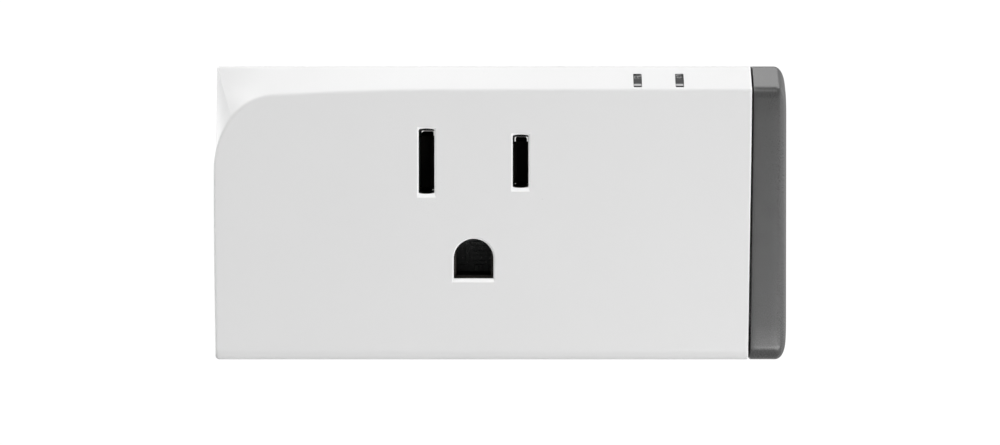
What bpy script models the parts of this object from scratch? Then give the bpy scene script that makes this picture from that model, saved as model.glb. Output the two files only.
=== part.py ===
"""Smart plug: a switched mains adaptor with one three-pole socket, built as separate pieces.

Frame, in metres: +X towards the grey end cap, -Y towards the socket face, +Z up.
Origin: on the wall-side face, midway between the two flat blades.
"""
import math

import bmesh
import bpy
from mathutils import Matrix, Vector

MM = 0.001

# Outlet pattern, shared by the socket in front and the blades behind.
BLADE_PITCH = 12.7 * MM
EARTH_DROP = 11.89 * MM
BLADE_THICKNESS = 1.52 * MM
NEUTRAL_WIDTH = 7.92 * MM
HOT_WIDTH = 6.35 * MM
BLADE_LENGTH = 17.5 * MM
EARTH_PIN_DIAMETER = 4.8 * MM
EARTH_PIN_LENGTH = 21.0 * MM
BLADE_HOLE_DIAMETER = 3.0 * MM
BLADE_HOLE_FROM_TIP = 5.8 * MM
INSERTED_BLADE_LENGTH = 18.3 * MM
INSERTED_PIN_LENGTH = 21.3 * MM

# Case: overall sizes and where the outlet pattern sits in it.
LENGTH = 75.0 * MM
HEIGHT = 38.4 * MM
DEPTH = 32.0 * MM
LEFT_TO_PATTERN = 34.0 * MM
BOTTOM_TO_PATTERN = 25.7 * MM
CAP_LENGTH = 4.8 * MM
SEAM_GAP = 0.4 * MM
SEAM_LEAN = 0.5 * MM
END_BOW = 0.15 * MM

# Slanted band along the top of the front, and the corner it sweeps round.
BAND_DROP = 3.1 * MM
BAND_DEPTH = 6.0 * MM
SWEEP_WIDTH = 9.0 * MM
SWEEP_HEIGHT = 7.9 * MM
SWEEP_SAG = 0.7 * MM
SWEEP_RUN = 22.0 * MM

# Walls, roundings and clearances.
WALL = 2.0 * MM
REAR_WALL = 2.4 * MM
REAR_TRAY_DEPTH = 9.0 * MM
FRONT_ROUNDING = 1.2 * MM
REAR_ROUNDING = 1.0 * MM
TOP_EDGE_SHARE = 0.7
CAP_END_ROUND_X = 1.5 * MM
CAP_END_ROUND_YZ = 3.0 * MM
FIT_GAP = 0.3 * MM
WINDOW_GAP = 0.15 * MM
LIP_THICKNESS = 1.0 * MM
LIP_HEIGHT = 1.5 * MM
SPIGOT_THICKNESS = 1.2 * MM
SPIGOT_LENGTH = 3.0 * MM

# Socket openings.
SLOT_WIDTH = 1.95 * MM
SLOT_END_CLEARANCE = 0.3 * MM
EARTH_HOLE_RADIUS = 2.6 * MM
EARTH_HOLE_OFFSET = 0.15 * MM

# Status windows in the slanted band.
WINDOW_WIDTH = 1.05 * MM
WINDOW_RISE = 1.7 * MM
WINDOW_ABOVE_BAND_FOOT = 0.4 * MM
WINDOW_FIRST_X = 21.5 * MM
WINDOW_PITCH = 5.5 * MM
PIPE_HEAD_LENGTH = 1.1 * MM
PIPE_STEM_HEIGHT = 1.3 * MM
LED_FROM_EDGE = 0.7 * MM
LED_HEIGHT = 0.8 * MM

# Power button and the switch behind it.
BUTTON_DIAMETER = 9.0 * MM
BUTTON_FLANGE_WIDTH = 1.0 * MM
BUTTON_FLANGE_THICKNESS = 1.0 * MM
BUTTON_STEM_DIAMETER = 4.0 * MM
BUTTON_TRAVEL = 0.4 * MM
BUTTON_FROM_FRONT = 16.0 * MM
BUTTON_Z = -5.0 * MM
SWITCH_SIDE = 6.0 * MM
SWITCH_HEIGHT = 3.5 * MM
PLUNGER_DIAMETER = 3.4 * MM
PLUNGER_PROUD = 1.2 * MM
PLUNGER_DEPTH = 1.2 * MM

# Screws, from the wall side.
SCREW_HEAD_DIAMETER = 4.4 * MM
SCREW_HEAD_HEIGHT = 1.4 * MM
SCREW_SHANK_DIAMETER = 2.4 * MM
SCREW_SHANK_LENGTH = 8.0 * MM
COUNTERBORE_DEPTH = 1.6 * MM
BOSS_DIAMETER = 5.0 * MM
BOSS_LENGTH = 17.0 * MM
BOSS_INSET = 3.6 * MM
RIGHT_BOSS_X = 27.5 * MM

# Socket contacts and their carrier.
CARRIER_SIDE_MARGIN = 4.4 * MM
CARRIER_TOP_MARGIN = 2.2 * MM
CARRIER_BOTTOM_MARGIN = 3.3 * MM
CARRIER_DEPTH = 14.8 * MM
SPRING_THICKNESS = 0.5 * MM
LEAF_SPREAD = 1.5 * MM
LEAF_THROAT = 0.9 * MM
CONTACT_END_INSET = 0.5 * MM
EARTH_LEAF_SPREAD = 2.55 * MM
STRAP_WIDTH = 4.0 * MM

# Circuit boards.
BOARD_THICKNESS = 1.6 * MM
BOARD_FROM_REAR = 8.4 * MM
BOARD_EDGE_GAP = 0.4 * MM
BOARD_LEFT_SETBACK = 6.5 * MM
CONTROL_THICKNESS = 1.0 * MM
CONTROL_FROM_SEAM = 4.6 * MM
CONTROL_LOW_Z = -17.0 * MM
CONTROL_HIGH_Z = 7.0 * MM
CONTROL_DEPTH = 15.5 * MM
LEG_HEIGHT = 0.3 * MM

# Relay: its cover is as large as what it holds and the rooms named here.
RELAY_WALL = 0.9 * MM
RELAY_BASE_THICKNESS = 1.2 * MM
COIL_Z = -2.5 * MM
COIL_SIDE_ROOM = 2.1 * MM
COIL_TO_YOKE = 1.6 * MM
COIL_TO_CONTACT = 1.4 * MM
YOKE_ROOM = 1.5 * MM
LEAF_ROOM = 1.2 * MM
YOKE_THICKNESS = 1.0 * MM
YOKE_WIDTH = 8.0 * MM
COIL_DIAMETER = 9.0 * MM
COIL_LENGTH = 7.8 * MM
COIL_FLANGE = 0.7 * MM
CORE_DIAMETER = 3.2 * MM
ARMATURE_GAP = 0.6 * MM
ARMATURE_THICKNESS = 1.0 * MM
CONTACT_LEAF_THICKNESS = 0.3 * MM
CONTACT_TIP_DIAMETER = 2.4 * MM
CONTACT_TIP_HEIGHT = 0.8 * MM
CONTACT_OPENING = 0.8 * MM

# Places worked out from the sizes above.
LEFT_X = -LEFT_TO_PATTERN
RIGHT_X = LEFT_X + LENGTH
BOTTOM_Z = -BOTTOM_TO_PATTERN
TOP_Z = BOTTOM_Z + HEIGHT
MIDDLE_Z = (BOTTOM_Z + TOP_Z) / 2
FRONT_Y = -DEPTH
SHOULDER_Y = FRONT_Y + BAND_DEPTH
PARTING_Y = -REAR_TRAY_DEPTH
SEAM_X = RIGHT_X - CAP_LENGTH
FACE_TOP_Z = TOP_Z - BAND_DROP
SWEEP_Z = FACE_TOP_Z - SWEEP_SAG - SWEEP_HEIGHT
TRAY_INSET = WALL + FIT_GAP + LIP_THICKNESS
BOARD_TOP_Z = TOP_Z - TRAY_INSET - BOARD_EDGE_GAP
BOARD_BOTTOM_Z = BOTTOM_Z + TRAY_INSET + BOARD_EDGE_GAP
LED_Z = BOARD_TOP_Z - LED_FROM_EDGE
BOARD_Y = -BOARD_FROM_REAR
BOARD_FRONT_Y = BOARD_Y - BOARD_THICKNESS
PART_SEAT_Y = BOARD_FRONT_Y - LEG_HEIGHT
EARTH_HOLE_Z = -EARTH_DROP - EARTH_HOLE_OFFSET
CARRIER_FRONT_Y = FRONT_Y + WALL + FIT_GAP
CARRIER_REAR_Y = CARRIER_FRONT_Y + CARRIER_DEPTH
CONTACT_FRONT_Y = CARRIER_FRONT_Y + SPRING_THICKNESS
CONTACT_BACK_Y = FRONT_Y + INSERTED_BLADE_LENGTH + SPRING_THICKNESS
CONTROL_X = SEAM_X - CONTROL_FROM_SEAM
BUTTON_Y = FRONT_Y + BUTTON_FROM_FRONT
SWITCH_X = CONTROL_X + FIT_GAP
PLUNGER_TIP_X = SWITCH_X + SWITCH_HEIGHT + PLUNGER_PROUD
CAP_INNER_X = RIGHT_X - WALL
RELAY_WIDTH = COIL_DIAMETER + 2 * (RELAY_WALL + COIL_SIDE_ROOM)
RELAY_X = LEFT_X + BOARD_LEFT_SETBACK + RELAY_WIDTH / 2 + FIT_GAP
RELAY_BASE_Y = PART_SEAT_Y - RELAY_BASE_THICKNESS
YOKE_BOTTOM_Y = RELAY_BASE_Y - FIT_GAP
COIL_BACK_Y = YOKE_BOTTOM_Y - YOKE_THICKNESS - FIT_GAP
CORE_TIP_Y = COIL_BACK_Y - COIL_LENGTH - FIT_GAP / 3
ARMATURE_Y = CORE_TIP_Y - ARMATURE_GAP
YOKE_LEG_Z = COIL_Z - COIL_DIAMETER / 2 - COIL_TO_YOKE
HINGE_Z = YOKE_LEG_Z - YOKE_THICKNESS / 2
LEAF_Y = ARMATURE_Y - ARMATURE_THICKNESS - FIT_GAP
CONTACT_TIP_Z = COIL_Z + COIL_DIAMETER / 2 + COIL_TO_CONTACT + CONTACT_TIP_DIAMETER / 2
RELAY_LOW_Z = YOKE_LEG_Z - YOKE_THICKNESS - YOKE_ROOM - RELAY_WALL
RELAY_HIGH_Z = CONTACT_TIP_Z + CONTACT_TIP_DIAMETER / 2 + FIT_GAP + RELAY_WALL
RELAY_TOP_Y = LEAF_Y - CONTACT_LEAF_THICKNESS - LEAF_ROOM - RELAY_WALL

PARTS = bpy.data.collections.new("smart_plug")
CUTTERS = bpy.data.collections.new("smart_plug_cutters")


def clear_scene():
    """Remove every object, and link the two collections the model is built in."""
    for item in list(bpy.data.objects):
        bpy.data.objects.remove(item, do_unlink=True)
    bpy.context.scene.collection.children.link(PARTS)
    bpy.context.scene.collection.children.link(CUTTERS)


def make_material(name, colour, roughness, metallic=0.0):
    """Return a Principled material of one colour."""
    material = bpy.data.materials.new(name)
    material.use_nodes = True
    shader = material.node_tree.nodes["Principled BSDF"]
    shader.inputs["Base Color"].default_value = (*colour, 1.0)
    shader.inputs["Roughness"].default_value = roughness
    shader.inputs["Metallic"].default_value = metallic
    return material


def add_object(name, data, material):
    """Link data as a part with its own material, or as a cutter when material is None."""
    item = bpy.data.objects.new(name, data)
    if material is None:
        CUTTERS.objects.link(item)
        item.hide_render = True
        item.display_type = "WIRE"
    else:
        PARTS.objects.link(item)
        data.materials.append(material)
    return item


def add_bmesh(name, bm, material, smooth_angle=None):
    """Turn a bmesh into an object whose faces point outward."""
    bmesh.ops.recalc_face_normals(bm, faces=bm.faces)
    mesh = bpy.data.meshes.new(name)
    bm.to_mesh(mesh)
    bm.free()
    if smooth_angle is not None:
        mesh.shade_smooth()
        mesh.set_sharp_from_angle(angle=math.radians(smooth_angle))
    return add_object(name, mesh, material)


def box(name, x, y, z, material=None):
    """Make a box from the (low, high) pairs of its three sides."""
    size = Vector((x[1] - x[0], y[1] - y[0], z[1] - z[0]))
    bm = bmesh.new()
    bmesh.ops.create_cube(bm, size=1.0, matrix=Matrix.Diagonal((*size, 1.0)))
    item = add_bmesh(name, bm, material)
    item.location = ((x[0] + x[1]) / 2, (y[0] + y[1]) / 2, (z[0] + z[1]) / 2)
    return item


def cylinder(name, diameter, start, end, material=None, sides=24):
    """Make a round bar between two points."""
    start = Vector(start)
    axis = Vector(end) - start
    bm = bmesh.new()
    bmesh.ops.create_cone(bm, cap_ends=True, segments=sides, radius1=diameter / 2,
                          radius2=diameter / 2, depth=axis.length)
    item = add_bmesh(name, bm, material, smooth_angle=40)
    item.rotation_mode = "QUATERNION"
    item.rotation_quaternion = axis.to_track_quat("Z", "Y")
    item.location = start + axis / 2
    return item


def turned(name, profile, base, axis, material, steps=24, ring=False):
    """Spin a profile of (radius, height) points, run top to bottom, about an axis from base."""
    mesh = bpy.data.meshes.new(name)
    edges = [(i, i + 1) for i in range(len(profile) - 1)]
    if ring:
        edges.append((len(profile) - 1, 0))
    mesh.from_pydata([(radius, 0.0, height) for radius, height in profile], edges, [])
    item = add_object(name, mesh, material)
    screw = item.modifiers.new("Turn", "SCREW")
    screw.axis = "Z"
    screw.steps = steps
    screw.render_steps = steps
    screw.use_merge_vertices = True
    screw.merge_threshold = 0.01 * MM
    item.rotation_mode = "QUATERNION"
    item.rotation_quaternion = Vector(axis).to_track_quat("Z", "Y")
    item.location = base
    return item


PLANES = {
    "XZ": Matrix(((1, 0, 0), (0, 0, -1), (0, 1, 0))).to_4x4(),
    "YZ": Matrix(((0, 0, 1), (1, 0, 0), (0, 1, 0))).to_4x4(),
    "XY": Matrix.Identity(4),
}
NORMALS = {"XZ": Vector((0, -1, 0)), "YZ": Vector((1, 0, 0)), "XY": Vector((0, 0, 1))}


def plate(name, outline, plane, low, high, material=None):
    """Extrude a flat outline; low and high are places along the plane's world axis."""
    curve = bpy.data.curves.new(name + "_outline", "CURVE")
    curve.dimensions = "2D"
    curve.fill_mode = "BOTH"
    curve.extrude = (high - low) / 2
    spline = curve.splines.new("POLY")
    spline.points.add(len(outline) - 1)
    for point, (across, up) in zip(spline.points, outline):
        point.co = (across, up, 0.0, 1.0)
    spline.use_cyclic_u = True
    guide = bpy.data.objects.new(name + "_guide", curve)
    CUTTERS.objects.link(guide)
    evaluated = guide.evaluated_get(bpy.context.evaluated_depsgraph_get())
    mesh = bpy.data.meshes.new_from_object(evaluated)
    bpy.data.objects.remove(guide)
    bm = bmesh.new()
    bm.from_mesh(mesh)
    bpy.data.meshes.remove(mesh)
    bmesh.ops.remove_doubles(bm, verts=bm.verts, dist=0.001 * MM)
    item = add_bmesh(name, bm, material)
    axis = Vector(abs(part) for part in NORMALS[plane])
    item.matrix_world = Matrix.Translation(axis * (low + high) / 2) @ PLANES[plane]
    return item


def ribbon(name, path, plane, low, high, thickness, material):
    """Bend a strip of sheet along a path, as wide as low to high along the plane's axis."""
    bm = bmesh.new()
    points = [bm.verts.new((across, up, -(high - low) / 2)) for across, up in path]
    edges = [bm.edges.new(pair) for pair in zip(points, points[1:])]
    swept = bmesh.ops.extrude_edge_only(bm, edges=edges)["geom"]
    raised = [part for part in swept if isinstance(part, bmesh.types.BMVert)]
    bmesh.ops.translate(bm, verts=raised, vec=(0.0, 0.0, high - low))
    item = add_bmesh(name, bm, material)
    axis = Vector(abs(part) for part in NORMALS[plane])
    item.matrix_world = Matrix.Translation(axis * (low + high) / 2) @ PLANES[plane]
    sheet = item.modifiers.new("Sheet", "SOLIDIFY")
    sheet.thickness = thickness
    sheet.offset = 0.0
    sheet.use_even_offset = True
    return item


def loft(name, sections, material=None):
    """Skin matching closed sections in order, and close both ends."""
    bm = bmesh.new()
    loops = [[bm.verts.new(point) for point in section] for section in sections]
    for near, far in zip(loops, loops[1:]):
        for i in range(len(near)):
            j = (i + 1) % len(near)
            bm.faces.new((near[i], near[j], far[j], far[i]))
    bm.faces.new(loops[0])
    bm.faces.new(loops[-1])
    return add_bmesh(name, bm, material)


def boolean(target, operation, tools):
    """Apply one Boolean modifier for each tool."""
    for tool in tools:
        step = target.modifiers.new(tool.name, "BOOLEAN")
        step.operation = operation
        step.object = tool
        step.solver = "EXACT"


def cut(target, *tools):
    """Take the tools away from the target."""
    boolean(target, "DIFFERENCE", tools)


def join(target, *tools):
    """Add the tools to the target."""
    boolean(target, "UNION", tools)


def round_edges(item, width, segments=2, angle=40.0):
    """Round the edges sharper than an angle."""
    bevel = item.modifiers.new("Rounding", "BEVEL")
    bevel.width = width
    bevel.segments = segments
    bevel.limit_method = "ANGLE"
    bevel.angle_limit = math.radians(angle)


def weigh_edges(item, choose):
    """Give each edge the bevel weight that choose() returns for its two ends."""
    bm = bmesh.new()
    bm.from_mesh(item.data)
    layer = bm.edges.layers.float.new("bevel_weight_edge")
    for edge in bm.edges:
        edge[layer] = choose(edge.verts[0].co, edge.verts[1].co)
    bm.to_mesh(item.data)
    bm.free()


def round_weighted(item, width, segments=2):
    """Round the edges that carry a bevel weight."""
    bevel = item.modifiers.new("Rounding", "BEVEL")
    bevel.width = width
    bevel.segments = segments
    bevel.limit_method = "WEIGHT"


def seam_x(z):
    """Return where the cap's seam lies at a height; it leans a little."""
    return SEAM_X + SEAM_LEAN * (z - MIDDLE_Z) / HEIGHT


def left_x(z):
    """Return where the bowed left side lies at a height."""
    share = (z - MIDDLE_Z) / (HEIGHT / 2)
    return LEFT_X + END_BOW * share ** 2


def face_drop(inset):
    """Return how far the band's foot drops when the front and the band both move in by inset."""
    run = math.hypot(BAND_DEPTH, BAND_DROP)
    return inset * (run - BAND_DROP) / BAND_DEPTH


def shoulder_y(inset):
    """Return where the band meets the top, when both move in by inset."""
    run = math.hypot(BAND_DEPTH, BAND_DROP)
    return SHOULDER_Y + inset * (run - BAND_DEPTH) / BAND_DROP


SIDE_STEPS = 3
SWEEP_STEPS = 10
TOP_STEPS = 4


def case_outline(inset, right, at_front):
    """Return the case's outline in X and Z, shrunk by inset, with right(z) as its right side.

    At the front its upper left corner is a quarter ellipse that runs into a line rising slowly
    to the right; behind the band that corner is square. Both outlines have matching points.
    """
    bottom = BOTTOM_Z + inset
    square_top = TOP_Z - inset
    face_top = FACE_TOP_Z - face_drop(inset)
    sweep_x = left_x(SWEEP_Z) + SWEEP_WIDTH
    top = face_top if at_front else square_top
    points = [(left_x(bottom) + inset, bottom), (right(bottom), bottom), (right(top), top)]
    for step in range(TOP_STEPS):
        share = 1.0 - step / TOP_STEPS
        x = sweep_x + SWEEP_RUN * share
        sag = SWEEP_SAG * (1.0 - share) ** 2 if at_front else 0.0
        points.append((x, top - sag))
    corner_x = left_x(square_top) + inset
    for step in range(SWEEP_STEPS + 1):
        share = step / SWEEP_STEPS
        angle = math.radians(90.0 + 90.0 * share)
        if at_front:
            x = sweep_x + (SWEEP_WIDTH - inset) * math.cos(angle)
            z = SWEEP_Z + (SWEEP_HEIGHT - face_drop(inset)) * math.sin(angle)
        elif share <= 0.5:
            x = sweep_x + (corner_x - sweep_x) * share * 2
            z = square_top
        else:
            z = square_top + (SWEEP_Z - square_top) * (share * 2 - 1)
            x = left_x(z) + inset
        points.append((x, z))
    for step in range(1, SIDE_STEPS):
        z = SWEEP_Z + (bottom - SWEEP_Z) * step / SIDE_STEPS
        points.append((left_x(z) + inset, z))
    return points


def at_depth(outline, y):
    """Stand an X-Z outline at a depth."""
    return [(x, y, z) for x, z in outline]


def past_seam(z):
    """Return a right side that lies well past the seam, for cutters."""
    return RIGHT_X + 0.0 * z


def boss_places():
    """Return the X and Z of the three screw bosses."""
    low = BOTTOM_Z + BOSS_INSET
    high = TOP_Z - BOSS_INSET
    left = LEFT_X + END_BOW + BOSS_INSET
    return [(left, low), (left, high), (RIGHT_BOSS_X, low)]


def arch_outline(radius, centre_z, steps=12):
    """Return an arch: a half circle above a square of the same width."""
    points = [(-radius, centre_z - radius), (radius, centre_z - radius)]
    for step in range(steps + 1):
        angle = math.pi * step / steps
        points.append((radius * math.cos(angle), centre_z + radius * math.sin(angle)))
    return points


def window_places():
    """Return the X of each status window's centre, with its side's name."""
    return [("left", WINDOW_FIRST_X), ("right", WINDOW_FIRST_X + WINDOW_PITCH)]


def band_y(z):
    """Return where the slanted band lies at a height."""
    return FRONT_Y + (z - FACE_TOP_Z) * BAND_DEPTH / BAND_DROP


def build_front_housing(white):
    """White front shell: a lofted body, hollow from behind, with the socket's openings."""
    front = case_outline(0.0, seam_x, at_front=True)
    square = case_outline(0.0, seam_x, at_front=False)
    sections = [at_depth(front, FRONT_Y), at_depth(square, SHOULDER_Y),
                at_depth(square, PARTING_Y - FIT_GAP)]
    shell = loft("front_housing", sections, white)

    def front_weight(one, other):
        """Weigh the front face's outline; its bottom edge is the softest."""
        if max(one.y, other.y) > FRONT_Y + FIT_GAP:
            return 0.0
        if max(one.z, other.z) < BOTTOM_Z + FIT_GAP:
            return 1.0
        if min(one.x, other.x) > SEAM_X - SEAM_LEAN:
            return 0.0
        return TOP_EDGE_SHARE

    weigh_edges(shell, front_weight)
    round_weighted(shell, FRONT_ROUNDING)
    inner_front = case_outline(WALL, past_seam, at_front=True)
    inner_square = case_outline(WALL, past_seam, at_front=False)
    hollow = loft("front_hollow", [
        at_depth(inner_front, FRONT_Y + WALL),
        at_depth(inner_square, shoulder_y(WALL)),
        at_depth(inner_square, PARTING_Y + WALL)])
    cut(shell, hollow)
    for number, (x, z) in enumerate(boss_places(), 1):
        start_y = -REAR_WALL - FIT_GAP
        boss = cylinder(f"boss_{number}", BOSS_DIAMETER, (x, start_y - BOSS_LENGTH, z),
                        (x, start_y, z))
        pilot = cylinder(f"pilot_{number}", SCREW_SHANK_DIAMETER + 2 * FIT_GAP,
                         (x, start_y - SCREW_SHANK_LENGTH, z), (x, start_y + WALL, z))
        join(shell, boss)
        cut(shell, pilot)
    through = (FRONT_Y - WALL, FRONT_Y + WALL + WALL)
    for side, width in (("neutral", NEUTRAL_WIDTH), ("hot", HOT_WIDTH)):
        cut(shell, blade_cutter(side + "_slot", side, width, SLOT_WIDTH, SLOT_END_CLEARANCE, through))
    cut(shell, plate("earth_hole", arch_outline(EARTH_HOLE_RADIUS, EARTH_HOLE_Z), "XZ", *through))
    low, high = window_heights()
    for side, x in window_places():
        half = WINDOW_WIDTH / 2 + WINDOW_GAP
        cut(shell, box(f"{side}_window", (x - half, x + half), (FRONT_Y, pipe_head_back() + FIT_GAP),
                       (low - WINDOW_GAP, high + WINDOW_GAP)))
        cut(shell, box(f"{side}_pipe_room", (x - half, x + half),
                       (pipe_step_y() - FIT_GAP, pipe_head_back() + FIT_GAP),
                       (LED_Z, high)))
    return shell


def window_heights():
    """Return the lowest and highest Z of a status window."""
    low = FACE_TOP_Z + WINDOW_ABOVE_BAND_FOOT
    return low, low + WINDOW_RISE


def pipe_head_back():
    """Return the Y of the back of a light pipe's head."""
    return band_y(window_heights()[1]) + PIPE_HEAD_LENGTH


def pipe_step_y():
    """Return the Y where a light pipe turns down from its head."""
    return pipe_head_back() - 2 * PIPE_HEAD_LENGTH


def blade_x(side):
    """Return the X of the neutral or the hot blade."""
    return -BLADE_PITCH / 2 if side == "neutral" else BLADE_PITCH / 2


def blade_cutter(name, side, width, thickness, end_clearance, reach):
    """Return a cutter for a blade to pass, from reach[0] to reach[1] in Y."""
    x = blade_x(side)
    half = width / 2 + end_clearance
    return box(name, (x - thickness / 2, x + thickness / 2), reach, (-half, half))


def build_rear_housing(white):
    """White tray against the wall, with a lip inside the front shell."""
    outline = case_outline(0.0, seam_x, at_front=False)
    tray = loft("rear_housing", [at_depth(outline, PARTING_Y), at_depth(outline, 0.0)], white)

    def rear_weight(one, other):
        """Weigh the wall-side outline, except along the seam."""
        if min(one.y, other.y) < -FIT_GAP or min(one.x, other.x) > SEAM_X - SEAM_LEAN:
            return 0.0
        return 1.0

    weigh_edges(tray, rear_weight)
    round_weighted(tray, REAR_ROUNDING)
    lip_end = SEAM_X - SPIGOT_LENGTH - 2 * FIT_GAP

    def lip_right(z):
        """Stop the lip short of the cap's spigot."""
        return lip_end + 0.0 * z

    lip_outline = case_outline(WALL + FIT_GAP, lip_right, at_front=False)
    join(tray, loft("rear_lip", [at_depth(lip_outline, PARTING_Y - LIP_HEIGHT),
                                 at_depth(lip_outline, PARTING_Y + WALL)]))
    inside = case_outline(TRAY_INSET, past_seam, at_front=False)
    cut(tray, loft("rear_hollow", [at_depth(inside, PARTING_Y - LIP_HEIGHT - WALL),
                                   at_depth(inside, -REAR_WALL)]))
    cut(tray, loft("spigot_room", [
        at_length(side_profile(WALL), lambda z: seam_x(z) - SPIGOT_LENGTH - FIT_GAP),
        at_length(side_profile(WALL), past_seam)]))
    for number, (x, z) in enumerate(boss_places(), 1):
        clearance = BOSS_DIAMETER + 2 * FIT_GAP
        cut(tray, cylinder(f"boss_room_{number}", clearance, (x, PARTING_Y - LIP_HEIGHT - WALL, z),
                           (x, -REAR_WALL, z)))
        cut(tray, cylinder(f"screw_hole_{number}", SCREW_SHANK_DIAMETER + 2 * FIT_GAP,
                           (x, -REAR_WALL - WALL, z), (x, WALL, z)))
        cut(tray, cylinder(f"counterbore_{number}", SCREW_HEAD_DIAMETER + 2 * FIT_GAP,
                           (x, -COUNTERBORE_DEPTH, z), (x, WALL, z)))
    through = (-REAR_WALL - WALL, WALL)
    for side, width in (("neutral", NEUTRAL_WIDTH), ("hot", HOT_WIDTH)):
        cut(tray, blade_cutter(side + "_exit", side, width, BLADE_THICKNESS + 2 * FIT_GAP,
                               FIT_GAP, through))
    cut(tray, cylinder("earth_exit", EARTH_PIN_DIAMETER + 2 * FIT_GAP,
                       (0.0, through[0], -EARTH_DROP), (0.0, through[1], -EARTH_DROP)))
    return tray


def side_profile(inset):
    """Return the case's section in Y and Z, shrunk by inset."""
    return [(FRONT_Y + inset, BOTTOM_Z + inset), (FRONT_Y + inset, FACE_TOP_Z - face_drop(inset)),
            (shoulder_y(inset), TOP_Z - inset), (-inset, TOP_Z - inset),
            (-inset, BOTTOM_Z + inset)]


def at_length(profile, place):
    """Stand a Y-Z profile at the X that place(z) gives for each of its points."""
    return [(place(z), y, z) for y, z in profile]


def build_end_cap(grey):
    """Grey cap with a softly rounded end, a spigot inside the case and the button's hole."""
    sections = [at_length(side_profile(0.0), lambda z: seam_x(z) + SEAM_GAP)]
    for step in range(5):
        angle = math.radians(90.0 * step / 4)
        x = RIGHT_X - CAP_END_ROUND_X * (1.0 - math.sin(angle))
        inset = CAP_END_ROUND_YZ * (1.0 - math.cos(angle))
        sections.append(at_length(side_profile(inset), lambda z, x=x: x))
    cap = loft("end_cap", sections, grey)
    spigot_inset = WALL + FIT_GAP
    spigot = loft("spigot", [
        at_length(side_profile(spigot_inset), lambda z: seam_x(z) - SPIGOT_LENGTH),
        at_length(side_profile(spigot_inset), lambda z: seam_x(z) + SEAM_GAP + FIT_GAP)])
    join(cap, spigot)
    hollow_inset = spigot_inset + SPIGOT_THICKNESS
    cut(cap, loft("cap_hollow", [
        at_length(side_profile(hollow_inset), lambda z: seam_x(z) - SPIGOT_LENGTH - WALL),
        at_length(side_profile(hollow_inset), lambda z: CAP_INNER_X)]))
    cut(cap, cylinder("button_hole", BUTTON_DIAMETER + 2 * FIT_GAP,
                      (CAP_INNER_X - WALL, BUTTON_Y, BUTTON_Z), (RIGHT_X + WALL, BUTTON_Y, BUTTON_Z),
                      sides=32))
    return cap


def build_power_button(grey):
    """Round button: a crowned face, a flange behind the cap's wall and a stem to the switch."""
    stem_end = PLUNGER_TIP_X + FIT_GAP
    flange_face = CAP_INNER_X - FIT_GAP
    flange_back = flange_face - BUTTON_FLANGE_THICKNESS
    radius = BUTTON_DIAMETER / 2
    top = RIGHT_X - stem_end
    crown = 0.3 * MM
    profile = [(0.0, top), (radius * 0.6, top - crown / 3), (radius - crown, top - crown),
               (radius, top - 2 * crown),
               (radius, flange_face - stem_end),
               (radius + BUTTON_FLANGE_WIDTH, flange_face - stem_end),
               (radius + BUTTON_FLANGE_WIDTH, flange_back - stem_end),
               (BUTTON_STEM_DIAMETER / 2, flange_back - stem_end),
               (BUTTON_STEM_DIAMETER / 2, 0.0), (0.0, 0.0)]
    return turned("power_button", profile, (stem_end, BUTTON_Y, BUTTON_Z), (1, 0, 0), grey, steps=32)


def build_screws(steel):
    """Three pan-head screws, entered from the wall side."""
    shank = SCREW_SHANK_DIAMETER / 2
    head = SCREW_HEAD_DIAMETER / 2
    length = SCREW_SHANK_LENGTH - WALL
    point = shank * 0.8
    edge = SCREW_HEAD_HEIGHT * 0.35
    profile = [(0.0, SCREW_HEAD_HEIGHT), (head * 0.7, SCREW_HEAD_HEIGHT),
               (head, SCREW_HEAD_HEIGHT - edge), (head, 0.0), (shank, 0.0),
               (shank, point - length), (0.0, -length)]
    recess = 0.7 * MM
    for number, (x, z) in enumerate(boss_places(), 1):
        seat_y = -COUNTERBORE_DEPTH + FIT_GAP / 2
        screw = turned(f"screw_{number}", profile, (x, seat_y, z), (0, 1, 0), steel, steps=16)
        top_y = seat_y + SCREW_HEAD_HEIGHT
        arm = head * 0.6
        blade = 0.35 * MM
        for turn, (half_x, half_z) in enumerate(((arm, blade), (blade, arm)), 1):
            cut(screw, box(f"drive_{number}_{turn}", (x - half_x, x + half_x),
                           (top_y - recess, top_y + recess), (z - half_z, z + half_z)))


def build_light_pipes(clear):
    """Clear pieces that bring light from the board to the slanted band."""
    low, high = window_heights()
    stem_top = LED_Z + PIPE_STEM_HEIGHT / 2
    stem_bottom = stem_top - PIPE_STEM_HEIGHT
    head_back = pipe_head_back()
    step_y = pipe_step_y()
    led_front = PART_SEAT_Y - LED_HEIGHT - FIT_GAP
    outline = [(band_y(low), low), (band_y(high), high), (head_back, high), (head_back, stem_top),
               (led_front, stem_top), (led_front, stem_bottom), (step_y, stem_bottom),
               (step_y, low)]
    for side, x in window_places():
        plate(f"light_pipe_{side}", outline, "YZ", x - WINDOW_WIDTH / 2, x + WINDOW_WIDTH / 2, clear)



def build_leds(led_body):
    """Two small lamps on the board's upper edge, under the light pipes."""
    for side, x in window_places():
        half_x = 0.8 * MM
        half_z = 0.4 * MM
        box(f"led_{side}", (x - half_x, x + half_x), (PART_SEAT_Y - LED_HEIGHT, PART_SEAT_Y),
            (LED_Z - half_z, LED_Z + half_z), led_body)


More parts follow.
